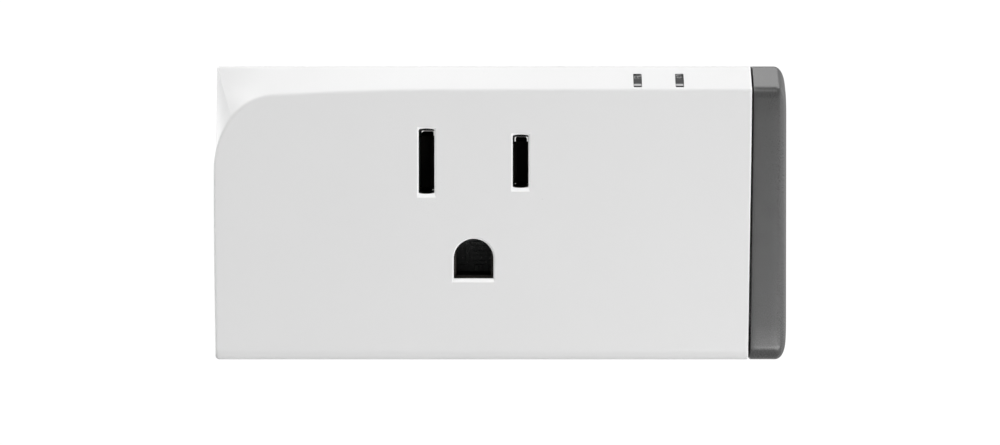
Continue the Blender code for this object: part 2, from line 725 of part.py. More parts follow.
def build_contact_carrier(black):
    """Black block behind the socket face, with a room for each contact."""
    half = BLADE_PITCH / 2 + CARRIER_SIDE_MARGIN
    carrier = box("contact_carrier", (-half, half), (CARRIER_FRONT_Y, CARRIER_REAR_Y),
                  (EARTH_HOLE_Z - EARTH_HOLE_RADIUS - CARRIER_BOTTOM_MARGIN,
                   NEUTRAL_WIDTH / 2 + CARRIER_TOP_MARGIN), black)
    rear = CARRIER_REAR_Y + WALL
    front = CARRIER_FRONT_Y - WALL
    room = LEAF_SPREAD + SPRING_THICKNESS / 2 + 2 * FIT_GAP
    for side, width in (("neutral", NEUTRAL_WIDTH), ("hot", HOT_WIDTH)):
        x = blade_x(side)
        half_z = width / 2 + SLOT_END_CLEARANCE
        cut(carrier, box(side + "_room", (x - room, x + room), (front, rear), (-half_z, half_z)))
    earth_room = EARTH_LEAF_SPREAD + SPRING_THICKNESS / 2 + FIT_GAP
    earth_top = EARTH_HOLE_Z + EARTH_HOLE_RADIUS
    earth_bottom = EARTH_HOLE_Z - EARTH_HOLE_RADIUS - 2 * SPRING_THICKNESS - 3 * FIT_GAP
    cut(carrier, box("earth_room", (-earth_room, earth_room), (front, rear),
                     (earth_bottom, earth_top)))
    return carrier


def build_blade_contacts(brass):
    """Sprung clips behind the two slots, each with a leg to the main board."""
    for side, width in (("neutral", NEUTRAL_WIDTH), ("hot", HOT_WIDTH)):
        x = blade_x(side)
        outward = -1.0 if side == "neutral" else 1.0
        half_z = width / 2 - CONTACT_END_INSET
        throat_y = CONTACT_FRONT_Y + 2.4 * MM
        spread_y = throat_y + 3.0 * MM
        leaf = [(LEAF_SPREAD, CONTACT_FRONT_Y + SPRING_THICKNESS), (LEAF_THROAT, throat_y),
                (LEAF_SPREAD, spread_y), (LEAF_SPREAD, CONTACT_BACK_Y)]
        path = [(x - across, y) for across, y in leaf]
        path += [(x + across, y) for across, y in reversed(leaf)]
        clip = ribbon(f"{side}_contact", path, "XY", -half_z, half_z, SPRING_THICKNESS, brass)
        leg_x = x + outward * LEAF_SPREAD
        half_leg = SPRING_THICKNESS / 2
        join(clip, box(f"{side}_leg", (leg_x - half_leg, leg_x + half_leg),
                       (CONTACT_BACK_Y - SPRING_THICKNESS, PART_SEAT_Y), (-half_leg * 4, half_leg * 4)))


def build_ground_contact(brass):
    """Open channel that grips the earth pin on both sides."""
    web_z = EARTH_HOLE_Z - EARTH_HOLE_RADIUS - SPRING_THICKNESS / 2 - FIT_GAP / 3
    top_z = EARTH_HOLE_Z + EARTH_HOLE_RADIUS * 0.7
    grip = EARTH_LEAF_SPREAD
    path = [(-grip, top_z), (-grip, web_z), (grip, web_z), (grip, top_z)]
    ribbon("ground_contact", path, "XZ", CONTACT_FRONT_Y, FRONT_Y + INSERTED_PIN_LENGTH - 2.5 * MM,
           SPRING_THICKNESS, brass)
    return web_z


def build_ground_strap(web_z, brass):
    """Strap under the channel, through the board, to a plate on the pin's inner end."""
    strap_z = web_z - SPRING_THICKNESS - FIT_GAP
    back_y = ground_plate_y()
    path = [(CONTACT_FRONT_Y + CARRIER_DEPTH / 2, strap_z), (back_y, strap_z),
            (back_y, -EARTH_DROP + EARTH_PIN_DIAMETER / 2)]
    ribbon("ground_strap", path, "YZ", -STRAP_WIDTH / 2, STRAP_WIDTH / 2, SPRING_THICKNESS, brass)
    return strap_z


def ground_plate_y():
    """Return the Y of the strap's plate, just behind the main board."""
    return BOARD_Y + BOARD_EDGE_GAP + SPRING_THICKNESS / 2


def build_blades(nickel):
    """Two flat blades with chamfered tips and a hole, and the round earth pin."""
    inner = BOARD_FRONT_Y - 2 * FIT_GAP
    for side, width in (("neutral", NEUTRAL_WIDTH), ("hot", HOT_WIDTH)):
        x = blade_x(side)
        half = BLADE_THICKNESS / 2
        slope = half * 0.6
        outline = [(x - half, inner), (x + half, inner), (x + half, BLADE_LENGTH - 2 * half),
                   (x + half - slope, BLADE_LENGTH), (x - half + slope, BLADE_LENGTH),
                   (x - half, BLADE_LENGTH - 2 * half)]
        blade = plate(f"{side}_blade", outline, "XY", -width / 2, width / 2, nickel)
        hole_y = BLADE_LENGTH - BLADE_HOLE_FROM_TIP
        cut(blade, cylinder(f"{side}_blade_hole", BLADE_HOLE_DIAMETER,
                            (x - BLADE_THICKNESS, hole_y, 0.0), (x + BLADE_THICKNESS, hole_y, 0.0),
                            sides=20))
    radius = EARTH_PIN_DIAMETER / 2
    inner_end = ground_plate_y() + SPRING_THICKNESS / 2 + FIT_GAP
    length = EARTH_PIN_LENGTH - inner_end
    profile = [(0.0, length), (radius * 0.45, length - radius * 0.12),
               (radius * 0.8, length - radius * 0.45), (radius, length - radius), (radius, 0.0),
               (0.0, 0.0)]
    turned("ground_pin", profile, (0.0, inner_end, -EARTH_DROP), (0, 1, 0), nickel)


def build_blade_holder(black):
    """Insulating block inside the tray, through which the blades pass."""
    front = -REAR_WALL - FIT_GAP
    rear_room = ground_plate_y() + SPRING_THICKNESS / 2 + FIT_GAP
    half = BLADE_PITCH / 2 + CARRIER_SIDE_MARGIN
    holder = box("blade_holder", (-half, half), (rear_room, front),
                 (-EARTH_DROP - EARTH_PIN_DIAMETER, NEUTRAL_WIDTH / 2 + CARRIER_TOP_MARGIN), black)
    reach = (rear_room - WALL, front + WALL)
    for side, width in (("neutral", NEUTRAL_WIDTH), ("hot", HOT_WIDTH)):
        cut(holder, blade_cutter(side + "_pass", side, width, BLADE_THICKNESS + 2 * FIT_GAP,
                                 FIT_GAP, reach))
    cut(holder, cylinder("earth_pass", EARTH_PIN_DIAMETER + 2 * FIT_GAP,
                         (0.0, reach[0], -EARTH_DROP), (0.0, reach[1], -EARTH_DROP)))


def board_sides():
    """Return the main board's (low, high) X and Z."""
    left = LEFT_X + BOARD_LEFT_SETBACK
    right = CONTROL_X - BOARD_EDGE_GAP - CONTROL_THICKNESS
    return (left, right), (BOARD_BOTTOM_Z, BOARD_TOP_Z)


def build_main_board(green, strap_z):
    """Main board, with openings for the blades and the earth strap and notches at the bosses."""
    sides, heights = board_sides()
    board = box("main_board", sides, (BOARD_FRONT_Y, BOARD_Y), heights, green)
    reach = (BOARD_FRONT_Y - WALL, BOARD_Y + WALL)
    for side, width in (("neutral", NEUTRAL_WIDTH), ("hot", HOT_WIDTH)):
        cut(board, blade_cutter(side + "_board_slot", side, width, BLADE_THICKNESS + 2 * FIT_GAP,
                                FIT_GAP, reach))
    room = SPRING_THICKNESS / 2 + FIT_GAP
    cut(board, box("strap_slot", (-STRAP_WIDTH / 2 - FIT_GAP, STRAP_WIDTH / 2 + FIT_GAP), reach,
                   (strap_z - room, strap_z + room)))
    for number, (x, z) in enumerate(boss_places(), 1):
        cut(board, cylinder(f"board_notch_{number}", BOSS_DIAMETER + 4 * FIT_GAP,
                            (x, reach[0], z), (x, reach[1], z)))


def on_board(name, centre, size, material, bevel=0.0):
    """Stand a block on the main board: centre is (x, z) and size is (x, height, z)."""
    block = box(name, (centre[0] - size[0] / 2, centre[0] + size[0] / 2),
                (PART_SEAT_Y - size[1], PART_SEAT_Y),
                (centre[1] - size[2] / 2, centre[1] + size[2] / 2), material)
    if bevel:
        round_edges(block, bevel, segments=1)
    return block


def build_supply(colours):
    """Mains input and low-voltage supply parts on the main board."""
    on_board("film_capacitor", (20.0 * MM, -18.2 * MM), (10.0 * MM, 11.0 * MM, 5.0 * MM),
             colours["blue_grey"], bevel=0.5 * MM)
    on_board("bridge_rectifier", (15.6 * MM, 4.6 * MM), (4.6 * MM, 2.2 * MM, 6.0 * MM),
             colours["black"])
    on_board("supply_chip", (23.0 * MM, -0.5 * MM), (4.0 * MM, 1.5 * MM, 5.0 * MM),
             colours["black"])
    on_board("metering_chip", (15.6 * MM, -2.6 * MM), (4.0 * MM, 1.5 * MM, 5.0 * MM),
             colours["black"])
    on_board("current_shunt", (-7.5 * MM, 7.6 * MM), (6.4 * MM, 0.7 * MM, 2.4 * MM),
             colours["copper"])
    on_board("voltage_regulator", (24.9 * MM, 5.2 * MM), (3.6 * MM, 1.6 * MM, 3.6 * MM),
             colours["black"])
    for name, centre, diameter, height, colour in (
            ("input_capacitor", (16.4 * MM, -10.2 * MM), 8.0 * MM, 14.0 * MM, "black"),
            ("output_capacitor", (20.3 * MM, 4.9 * MM), 4.0 * MM, 9.0 * MM, "black"),
            ("inductor", (24.8 * MM, -9.0 * MM), 6.4 * MM, 7.5 * MM, "ferrite")):
        radius = diameter / 2
        crimp = 0.25 * MM
        profile = [(0.0, height), (radius - crimp, height), (radius, height - crimp),
                   (radius, 4 * crimp), (radius - crimp, 3 * crimp), (radius, 2 * crimp),
                   (radius, 0.0), (0.0, 0.0)]
        turned(name, profile, (centre[0], PART_SEAT_Y, centre[1]), (0, -1, 0), colours[colour],
               steps=20)
    disc = 9.0 * MM
    disc_thickness = 3.6 * MM
    disc_x = -20.5 * MM
    disc_z = -17.6 * MM
    varistor = cylinder("varistor", disc,
                        (disc_x, PART_SEAT_Y - disc / 2 - FIT_GAP, disc_z - disc_thickness / 2),
                        (disc_x, PART_SEAT_Y - disc / 2 - FIT_GAP, disc_z + disc_thickness / 2),
                        colours["red"])
    round_edges(varistor, 0.8 * MM)
    fuse_radius = 2.1 * MM
    fuse_half = 6.5 * MM
    collar = 2.0 * MM
    fuse_z = -19.9 * MM
    profile = [(0.0, fuse_half), (fuse_radius, fuse_half), (fuse_radius, fuse_half - collar),
               (fuse_radius * 0.9, fuse_half - collar), (fuse_radius * 0.9, collar - fuse_half),
               (fuse_radius, collar - fuse_half), (fuse_radius, -fuse_half), (0.0, -fuse_half)]
    turned("fuse", profile, (0.0, PART_SEAT_Y - fuse_radius, fuse_z), (1, 0, 0), colours["nickel"],
           steps=16)
    busbar_z = NEUTRAL_WIDTH / 2 + CARRIER_TOP_MARGIN + 1.5 * MM
    rear = BOARD_Y + BOARD_EDGE_GAP
    box("line_busbar", (RELAY_X, BLADE_PITCH / 2 + LEAF_SPREAD), (rear, rear + SPRING_THICKNESS),
        (busbar_z - 1.0 * MM, busbar_z + 1.0 * MM), colours["copper"])


def build_control_board(colours):
    """Upright board beside the cap with the radio parts, and the switch facing the button."""
    low_y = PART_SEAT_Y - CONTROL_DEPTH
    face_x = CONTROL_X - CONTROL_THICKNESS
    box("control_board", (face_x, CONTROL_X), (low_y, PART_SEAT_Y),
        (CONTROL_LOW_Z, CONTROL_HIGH_Z), colours["green"])
    seat_x = face_x - FIT_GAP
    middle_y = (low_y + PART_SEAT_Y) / 2
    for name, height, size, centre_z, colour in (
            ("wifi_chip", 0.9 * MM, 5.0 * MM, -1.0 * MM, "black"),
            ("memory_chip", 1.5 * MM, 4.4 * MM, 4.2 * MM, "black"),
            ("crystal", 0.8 * MM, 2.8 * MM, -6.6 * MM, "nickel")):
        half = size / 2
        box(name, (seat_x - height, seat_x), (middle_y - half, middle_y + half),
            (centre_z - half, centre_z + half), colours[colour])
    strip = 0.4 * MM
    antenna_z = CONTROL_LOW_Z + 0.8 * MM
    box("antenna", (seat_x - strip, seat_x), (low_y + 0.8 * MM, PART_SEAT_Y - 4.0 * MM),
        (antenna_z, antenna_z + 3.0 * MM), colours["copper"])
    header_depth = 2.0 * MM
    box("pin_header", (seat_x - 1.8 * MM, seat_x), (PART_SEAT_Y - header_depth, PART_SEAT_Y),
        (-4.5 * MM, 5.5 * MM), colours["black"])


def build_switch(colours):
    """Tactile switch: a square body with a round well, and the plunger in it."""
    half = SWITCH_SIDE / 2
    top_x = SWITCH_X + SWITCH_HEIGHT
    body = box("tact_switch_body", (SWITCH_X, top_x), (BUTTON_Y - half, BUTTON_Y + half),
               (BUTTON_Z - half, BUTTON_Z + half), colours["black"])
    well = PLUNGER_DEPTH + BUTTON_TRAVEL + FIT_GAP
    cut(body, cylinder("plunger_well", PLUNGER_DIAMETER + 2 * FIT_GAP,
                       (top_x - well, BUTTON_Y, BUTTON_Z), (top_x + WALL, BUTTON_Y, BUTTON_Z)))
    cylinder("tact_switch_plunger", PLUNGER_DIAMETER, (top_x - PLUNGER_DEPTH, BUTTON_Y, BUTTON_Z),
             (PLUNGER_TIP_X, BUTTON_Y, BUTTON_Z), colours["white"])


def build_relay_frame(colours):
    """Relay base, its cover, the coil on its bobbin, the core and the yoke."""
    half = RELAY_WIDTH / 2
    box("relay_base", (RELAY_X - half, RELAY_X + half), (RELAY_BASE_Y, PART_SEAT_Y),
        (RELAY_LOW_Z, RELAY_HIGH_Z), colours["black"])
    case = box("relay_case", (RELAY_X - half, RELAY_X + half), (RELAY_TOP_Y, RELAY_BASE_Y - FIT_GAP),
               (RELAY_LOW_Z, RELAY_HIGH_Z), colours["blue_grey"])
    round_edges(case, 0.4 * MM, segments=1)
    inner = half - RELAY_WALL
    cut(case, box("relay_room", (RELAY_X - inner, RELAY_X + inner),
                  (RELAY_TOP_Y + RELAY_WALL, RELAY_BASE_Y + WALL),
                  (RELAY_LOW_Z + RELAY_WALL, RELAY_HIGH_Z - RELAY_WALL)))
    coil = COIL_DIAMETER / 2
    bore = CORE_DIAMETER / 2 + FIT_GAP
    barrel = bore + 0.5 * MM
    spool = [(coil, COIL_LENGTH), (coil, COIL_LENGTH - COIL_FLANGE),
             (barrel, COIL_LENGTH - COIL_FLANGE), (barrel, COIL_FLANGE), (coil, COIL_FLANGE),
             (coil, 0.0), (bore, 0.0), (bore, COIL_LENGTH)]
    base = (RELAY_X, COIL_BACK_Y, COIL_Z)
    turned("relay_bobbin", spool, base, (0, -1, 0), colours["white"], steps=20, ring=True)
    low = COIL_FLANGE + FIT_GAP
    high = COIL_LENGTH - COIL_FLANGE - FIT_GAP
    wire = coil - FIT_GAP
    inside = barrel + FIT_GAP
    turned("relay_winding", [(wire, high), (wire, low), (inside, low), (inside, high)], base,
           (0, -1, 0), colours["copper"], steps=20, ring=True)
    cylinder("relay_core", CORE_DIAMETER, (RELAY_X, COIL_BACK_Y, COIL_Z),
             (RELAY_X, CORE_TIP_Y, COIL_Z), colours["nickel"], sides=20)
    leg_top = ARMATURE_Y + FIT_GAP
    foot_end = COIL_Z + CORE_DIAMETER
    outline = [(YOKE_BOTTOM_Y, YOKE_LEG_Z - YOKE_THICKNESS), (YOKE_BOTTOM_Y, foot_end),
               (YOKE_BOTTOM_Y - YOKE_THICKNESS, foot_end),
               (YOKE_BOTTOM_Y - YOKE_THICKNESS, YOKE_LEG_Z), (leg_top, YOKE_LEG_Z),
               (leg_top, YOKE_LEG_Z - YOKE_THICKNESS)]
    plate("relay_yoke", outline, "YZ", RELAY_X - YOKE_WIDTH / 2, RELAY_X + YOKE_WIDTH / 2,
          colours["nickel"])


def build_relay_contacts(colours):
    """Hinged armature, the leaf it carries and the contact that the leaf closes on."""
    hinge = bpy.data.objects.new("relay_hinge", None)
    PARTS.objects.link(hinge)
    hinge.location = (RELAY_X, ARMATURE_Y, HINGE_Z)
    bpy.context.view_layer.update()
    half = YOKE_WIDTH / 2
    armature = box("relay_armature", (RELAY_X - half, RELAY_X + half),
                   (ARMATURE_Y - ARMATURE_THICKNESS, ARMATURE_Y),
                   (YOKE_LEG_Z - YOKE_THICKNESS, COIL_Z + COIL_DIAMETER / 2),
                   colours["nickel"])
    leaf_half = 2.0 * MM
    leaf_end = CONTACT_TIP_Z + CONTACT_TIP_DIAMETER / 2
    leaf = box("relay_moving_contact", (RELAY_X - leaf_half, RELAY_X + leaf_half),
               (LEAF_Y - CONTACT_LEAF_THICKNESS, LEAF_Y), (COIL_Z, leaf_end),
               colours["brass"])
    tip_y = LEAF_Y + CONTACT_TIP_HEIGHT
    join(leaf, cylinder("moving_tip", CONTACT_TIP_DIAMETER,
                        (RELAY_X, LEAF_Y - CONTACT_LEAF_THICKNESS / 2, CONTACT_TIP_Z),
                        (RELAY_X, tip_y, CONTACT_TIP_Z), sides=16))
    for piece in (armature, leaf):
        piece.parent = hinge
        piece.matrix_parent_inverse = hinge.matrix_world.inverted()
    face_y = tip_y + CONTACT_OPENING
    arm_z = CONTACT_TIP_Z + CONTACT_TIP_DIAMETER / 2
    shelf_z = CONTACT_TIP_Z - CONTACT_TIP_DIAMETER / 2
    sheet = SPRING_THICKNESS
    outline = [(face_y, shelf_z), (face_y, arm_z), (RELAY_BASE_Y - FIT_GAP, arm_z),
               (RELAY_BASE_Y - FIT_GAP, arm_z - sheet), (face_y + sheet, arm_z - sheet),
               (face_y + sheet, shelf_z)]
    plate("relay_fixed_contact", outline, "YZ", RELAY_X - leaf_half, RELAY_X + leaf_half,
          colours["brass"])


def make_colours():
    """Return the materials by name."""
    return {
        "white": make_material("white_plastic", (0.86, 0.86, 0.86), 0.42),
        "grey": make_material("grey_plastic", (0.12, 0.12, 0.12), 0.5),
        "black": make_material("black_plastic", (0.015, 0.015, 0.016), 0.5),
        "clear": make_material("clear_plastic", (0.45, 0.47, 0.48), 0.15),
        "nickel": make_material("nickel_plate", (0.62, 0.6, 0.56), 0.28, 1.0),
        "brass": make_material("brass_sheet", (0.68, 0.5, 0.22), 0.35, 1.0),
        "copper": make_material("copper", (0.72, 0.34, 0.2), 0.38, 1.0),
        "steel": make_material("screw_steel", (0.45, 0.45, 0.46), 0.35, 1.0),
        "green": make_material("circuit_board", (0.02, 0.16, 0.07), 0.4),
        "blue_grey": make_material("moulded_box", (0.08, 0.13, 0.2), 0.45),
        "red": make_material("varistor_coat", (0.5, 0.05, 0.02), 0.5),
        "ferrite": make_material("ferrite", (0.05, 0.05, 0.055), 0.6),
        "led": make_material("lamp_body", (0.8, 0.82, 0.78), 0.3),
    }


def main():
    """Build every piece."""
    clear_scene()
    colours = make_colours()
    build_front_housing(colours["white"])
    build_rear_housing(colours["white"])
    build_end_cap(colours["grey"])
    build_power_button(colours["grey"])
    build_screws(colours["steel"])
    build_light_pipes(colours["clear"])
    build_leds(colours["led"])
    build_contact_carrier(colours["black"])
    build_blade_contacts(colours["brass"])
    web_z = build_ground_contact(colours["brass"])
    strap_z = build_ground_strap(web_z, colours["brass"])
    build_blades(colours["nickel"])
    build_blade_holder(colours["black"])
    build_main_board(colours["green"], strap_z)
    build_supply(colours)
    build_control_board(colours)
    build_switch(colours)
    build_relay_frame(colours)
    build_relay_contacts(colours)


main()
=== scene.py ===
"""Looks of the smart plug: smooth shells, prongs and fittings, and a finish for every piece.

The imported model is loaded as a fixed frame. Shells and fittings are surfaces worked out with numpy
from the frame's boxes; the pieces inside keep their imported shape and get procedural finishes.
Lengths are in metres, with +X to the grey cap, -Y out of the socket face and +Z up.
"""
import logging
import math
from dataclasses import dataclass
from enum import Enum
from typing import Any, Callable

import bmesh
import bpy
import numpy as np
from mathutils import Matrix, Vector


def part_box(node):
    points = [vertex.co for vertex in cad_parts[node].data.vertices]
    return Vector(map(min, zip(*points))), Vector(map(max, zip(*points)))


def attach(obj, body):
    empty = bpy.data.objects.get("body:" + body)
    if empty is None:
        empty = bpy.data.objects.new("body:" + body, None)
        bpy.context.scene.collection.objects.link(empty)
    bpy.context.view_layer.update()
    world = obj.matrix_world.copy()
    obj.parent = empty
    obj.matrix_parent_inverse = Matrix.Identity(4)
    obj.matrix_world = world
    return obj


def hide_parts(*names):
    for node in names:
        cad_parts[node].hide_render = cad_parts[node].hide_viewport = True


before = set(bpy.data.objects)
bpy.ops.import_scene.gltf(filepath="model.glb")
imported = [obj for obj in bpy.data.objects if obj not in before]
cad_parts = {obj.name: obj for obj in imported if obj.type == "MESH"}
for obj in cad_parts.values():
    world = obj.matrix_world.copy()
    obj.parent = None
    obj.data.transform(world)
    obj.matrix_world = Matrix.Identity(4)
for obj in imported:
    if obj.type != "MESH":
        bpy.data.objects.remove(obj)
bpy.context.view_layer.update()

MM = 0.001
LOG = logging.getLogger("smart_plug")


class Body(Enum):
    """The bodies that pieces ride on."""

    CASE = "case"
    BUTTON = "power_button"
    PLUNGER = "switch_plunger"
    ARMATURE = "relay_armature"


class Slot(Enum):
    """The record's material slots."""

    WHITE = "white_plastic"
    GREY = "grey_plastic"
    BLACK = "black_plastic"
    CLEAR = "clear_plastic"
    NICKEL = "nickel"
    BRASS = "brass"
    COPPER = "copper"
    STEEL = "steel"
    BOARD = "circuit_board"
    BOX = "moulded_box"
    VARISTOR = "varistor_coat"
    FERRITE = "ferrite"
    LAMP = "lamp_body"
    NYLON = "white_nylon"


# ---------------------------------------------------------------- shader graphs


class Wire:
    """A node's output that takes part in arithmetic; each operator adds a Math node."""

    def __init__(self, graph: "Graph", socket: bpy.types.NodeSocket) -> None:
        """Keep the graph and the socket."""
        self.graph = graph
        self.socket = socket

    def _math(self, operation: str, first: Any, second: Any = None, clamp: bool = False) -> "Wire":
        """Add one Math node.

        Args:
            operation: the Math node's operation.
            first: its first value or wire.
            second: its second value or wire, if it has one.
            clamp: whether the result is held between 0 and 1.

        Returns:
            The node's value as a wire.
        """
        inputs = {0: first} if second is None else {0: first, 1: second}
        return self.graph.node("ShaderNodeMath", {"operation": operation, "use_clamp": clamp}, inputs)

    def __add__(self, other: Any) -> "Wire":
        """Return self + other."""
        return self._math("ADD", self, other)

    __radd__ = __add__

    def __sub__(self, other: Any) -> "Wire":
        """Return self - other."""
        return self._math("SUBTRACT", self, other)

    def __rsub__(self, other: Any) -> "Wire":
        """Return other - self."""
        return self._math("SUBTRACT", other, self)

    def __mul__(self, other: Any) -> "Wire":
        """Return self x other."""
        return self._math("MULTIPLY", self, other)

    __rmul__ = __mul__

    def __truediv__(self, other: Any) -> "Wire":
        """Return self / other."""
        return self._math("DIVIDE", self, other)

    def __pow__(self, other: Any) -> "Wire":
        """Return self to the power other."""
        return self._math("POWER", self, other)

    def __abs__(self) -> "Wire":
        """Return the size of self."""
        return self._math("ABSOLUTE", self)

    def below(self, limit: Any) -> "Wire":
        """Return 1 where self is below the limit, else 0."""
        return self._math("LESS_THAN", self, limit)

    def above(self, limit: Any) -> "Wire":
        """Return 1 where self is above the limit, else 0."""
        return self._math("GREATER_THAN", self, limit)

    def largest(self, other: Any) -> "Wire":
        """Return the larger of self and other."""
        return self._math("MAXIMUM", self, other)

    def sine(self) -> "Wire":
        """Return the sine of self in radians."""
        return self._math("SINE", self)

    def held(self) -> "Wire":
        """Return self held between 0 and 1."""
        return self._math("ADD", self, 0.0, clamp=True)

    def ramp(self, low: float, high: float) -> "Wire":
        """Return self run smoothly from 0 at low to 1 at high."""
        return self.graph.node("ShaderNodeMapRange", {"interpolation_type": "SMOOTHSTEP"},
                               {"Value": self, "From Min": low, "From Max": high})


def opaque(colour: Any) -> Any:
    """Give a three-part colour its alpha of 1, and leave any other value as it is."""
    return (*colour, 1.0) if isinstance(colour, tuple) and len(colour) == 3 else colour


class Graph:
    """One material's node tree, built around its Principled shader."""

    def __init__(self, name: str) -> None:
        """Make the material and keep its tree, shader and Object coordinates."""
        self.material = bpy.data.materials.new(name)
        self.material.use_nodes = True
        self.tree = self.material.node_tree
        self.shader = self.tree.nodes["Principled BSDF"]
        self.place = self.node("ShaderNodeTexCoord", {}, {}, "Object")

    def node(self, kind: str, settings: dict[str, Any], inputs: dict[Any, Any],
             output: Any = 0) -> Wire:
        """Add a node.

        Args:
            kind: the node's type.
            settings: the node's attributes, set before its sockets.
            inputs: values or wires by socket name or number.
            output: the name or number of the wanted output.

        Returns:
            That output as a wire.
        """
        node = self.tree.nodes.new(kind)
        for key, value in settings.items():
            setattr(node, key, value)
        for key, value in inputs.items():
            self.feed(node.inputs[key], value)
        return Wire(self, node.outputs[output])

    def feed(self, socket: bpy.types.NodeSocket, value: Any) -> None:
        """Link a wire to a socket, or set the socket's own value.

        Args:
            socket: the input to feed.
            value: a wire, or a constant for the socket itself.
        """
        if isinstance(value, Wire):
            self.tree.links.new(value.socket, socket)
        else:
            socket.default_value = value

    def noise(self, size: float, detail: float = 2.0, place: Any = None) -> Wire:
        """Return noise from 0 to 1 whose blotches are about size across."""
        inputs = {"Vector": place or self.place, "Scale": 1.0 / size, "Detail": detail}
        return self.node("ShaderNodeTexNoise", {}, inputs)

    def cells(self, size: float, output: str = "Distance", place: Any = None) -> Wire:
        """Return an output of a Voronoi pattern whose cells are about size across."""
        inputs = {"Vector": place or self.place, "Scale": 1.0 / size}
        return self.node("ShaderNodeTexVoronoi", {}, inputs, output)

    def lot(self, size: float) -> Wire:
        """Return one random value from 0 to 1 for each cell of about a size."""
        return self.node("ShaderNodeSeparateColor", {}, {0: self.cells(size, "Color")})

    def stretched(self, factors: tuple[float, float, float]) -> Wire:
        """Return the Object coordinates multiplied by a factor along each axis."""
        return self.node("ShaderNodeVectorMath", {"operation": "MULTIPLY"},
                         {0: self.place, 1: factors})

    def axis(self, name: str) -> Wire:
        """Return one Object coordinate: X, Y or Z."""
        return self.node("ShaderNodeSeparateXYZ", {}, {0: self.place}, name)

    def blend(self, share: Any, first: Any, second: Any) -> Wire:
        """Mix two colours by a share from 0 to 1.

        Args:
            share: how much of the second colour shows.
            first: a colour or a wire.
            second: a colour or a wire.

        Returns:
            The mixed colour as a wire.
        """
        return self.node("ShaderNodeMix", {"data_type": "RGBA"},
                         {"Factor": share, 6: opaque(first), 7: opaque(second)}, 2)

    def shade(self, colour: Any, factor: Any) -> Wire:
        """Multiply a colour by a value, which keeps its hue."""
        grey = self.node("ShaderNodeCombineXYZ", {}, {0: factor, 1: factor, 2: factor})
        return self.node("ShaderNodeVectorMath", {"operation": "MULTIPLY"}, {0: colour, 1: grey})

    def bump(self, height: Wire, depth: float) -> Wire:
        """Return a normal from a height that rises by depth between 0 and 1."""
        return self.node("ShaderNodeBump", {}, {"Height": height, "Distance": depth}, "Normal")

    def set(self, **values: Any) -> None:
        """Feed the Principled shader's sockets.

        Args:
            values: wires or constants by socket name, with underscores for its spaces.
        """
        for key, value in values.items():
            self.feed(self.shader.inputs[key.replace("_", " ")], opaque(value))

    def fed(self, name: str) -> Wire:
        """Return the wire that feeds one of the Principled shader's sockets."""
        return Wire(self, self.shader.inputs[name].links[0].from_socket)


@dataclass(frozen=True)
class Finish:
    """A finish: a colour with its roughness and metallic value."""

    name: str
    colour: tuple[float, float, float]
    roughness: float = 0.45
    metallic: float = 0.0

    def material(self) -> bpy.types.Material:
        """Build the finish's material, once for each object that asks for it."""
        graph = Graph(self.name)
        graph.set(Metallic=self.metallic)
        self.dress(graph)
        return graph.material

    def dress(self, graph: Graph) -> None:
        """Give the shader the finish's detail.

        Args:
            graph: the material's node graph.
        """
        graph.set(Base_Color=self.colour, Roughness=self.roughness)


@dataclass(frozen=True)
class MouldedPlastic(Finish):
    """Spark-eroded mould texture: fine grain, faint flow marks and a few specks."""

    grain: float = 0.16 * MM
    grain_depth: float = 0.006 * MM
    grain_sheen: float = 0.1
    flow: float = 0.012
    flow_size: float = 14.0 * MM
    flow_sheen: float = 0.08
    speck_room: float = 9.0 * MM
    speck_radius: float = 0.0
    speck_share: float = 0.28
    speck_tone: float = 0.12
    coat: float = 0.0
    coat_roughness: float = 0.2
    gloss: float = 0.5

    def dress(self, graph: Graph) -> None:
        """Grain in the normal, flow marks in colour and roughness, specks in colour.

        Args:
            graph: the material's node graph.
        """
        fine = graph.noise(self.grain, 3.0)
        broad = graph.noise(self.flow_size)
        shade = 1.0 - self.flow * (broad - 0.5) * 2.0 - self.flow * (fine - 0.5)
        if self.speck_radius:
            near = graph.cells(self.speck_room) * self.speck_room
            rare = graph.lot(self.speck_room).above(1.0 - self.speck_share)
            shade = shade - near.below(self.speck_radius) * rare * self.speck_tone
        rough = self.roughness + (broad - 0.5) * self.flow_sheen + (fine - 0.5) * self.grain_sheen
        graph.set(Base_Color=graph.shade(self.colour, shade), Roughness=rough.held(),
                  Normal=graph.bump(fine, self.grain_depth), Specular_IOR_Level=self.gloss)
        if self.coat:
            graph.set(Coat_Weight=self.coat, Coat_Roughness=self.coat_roughness)


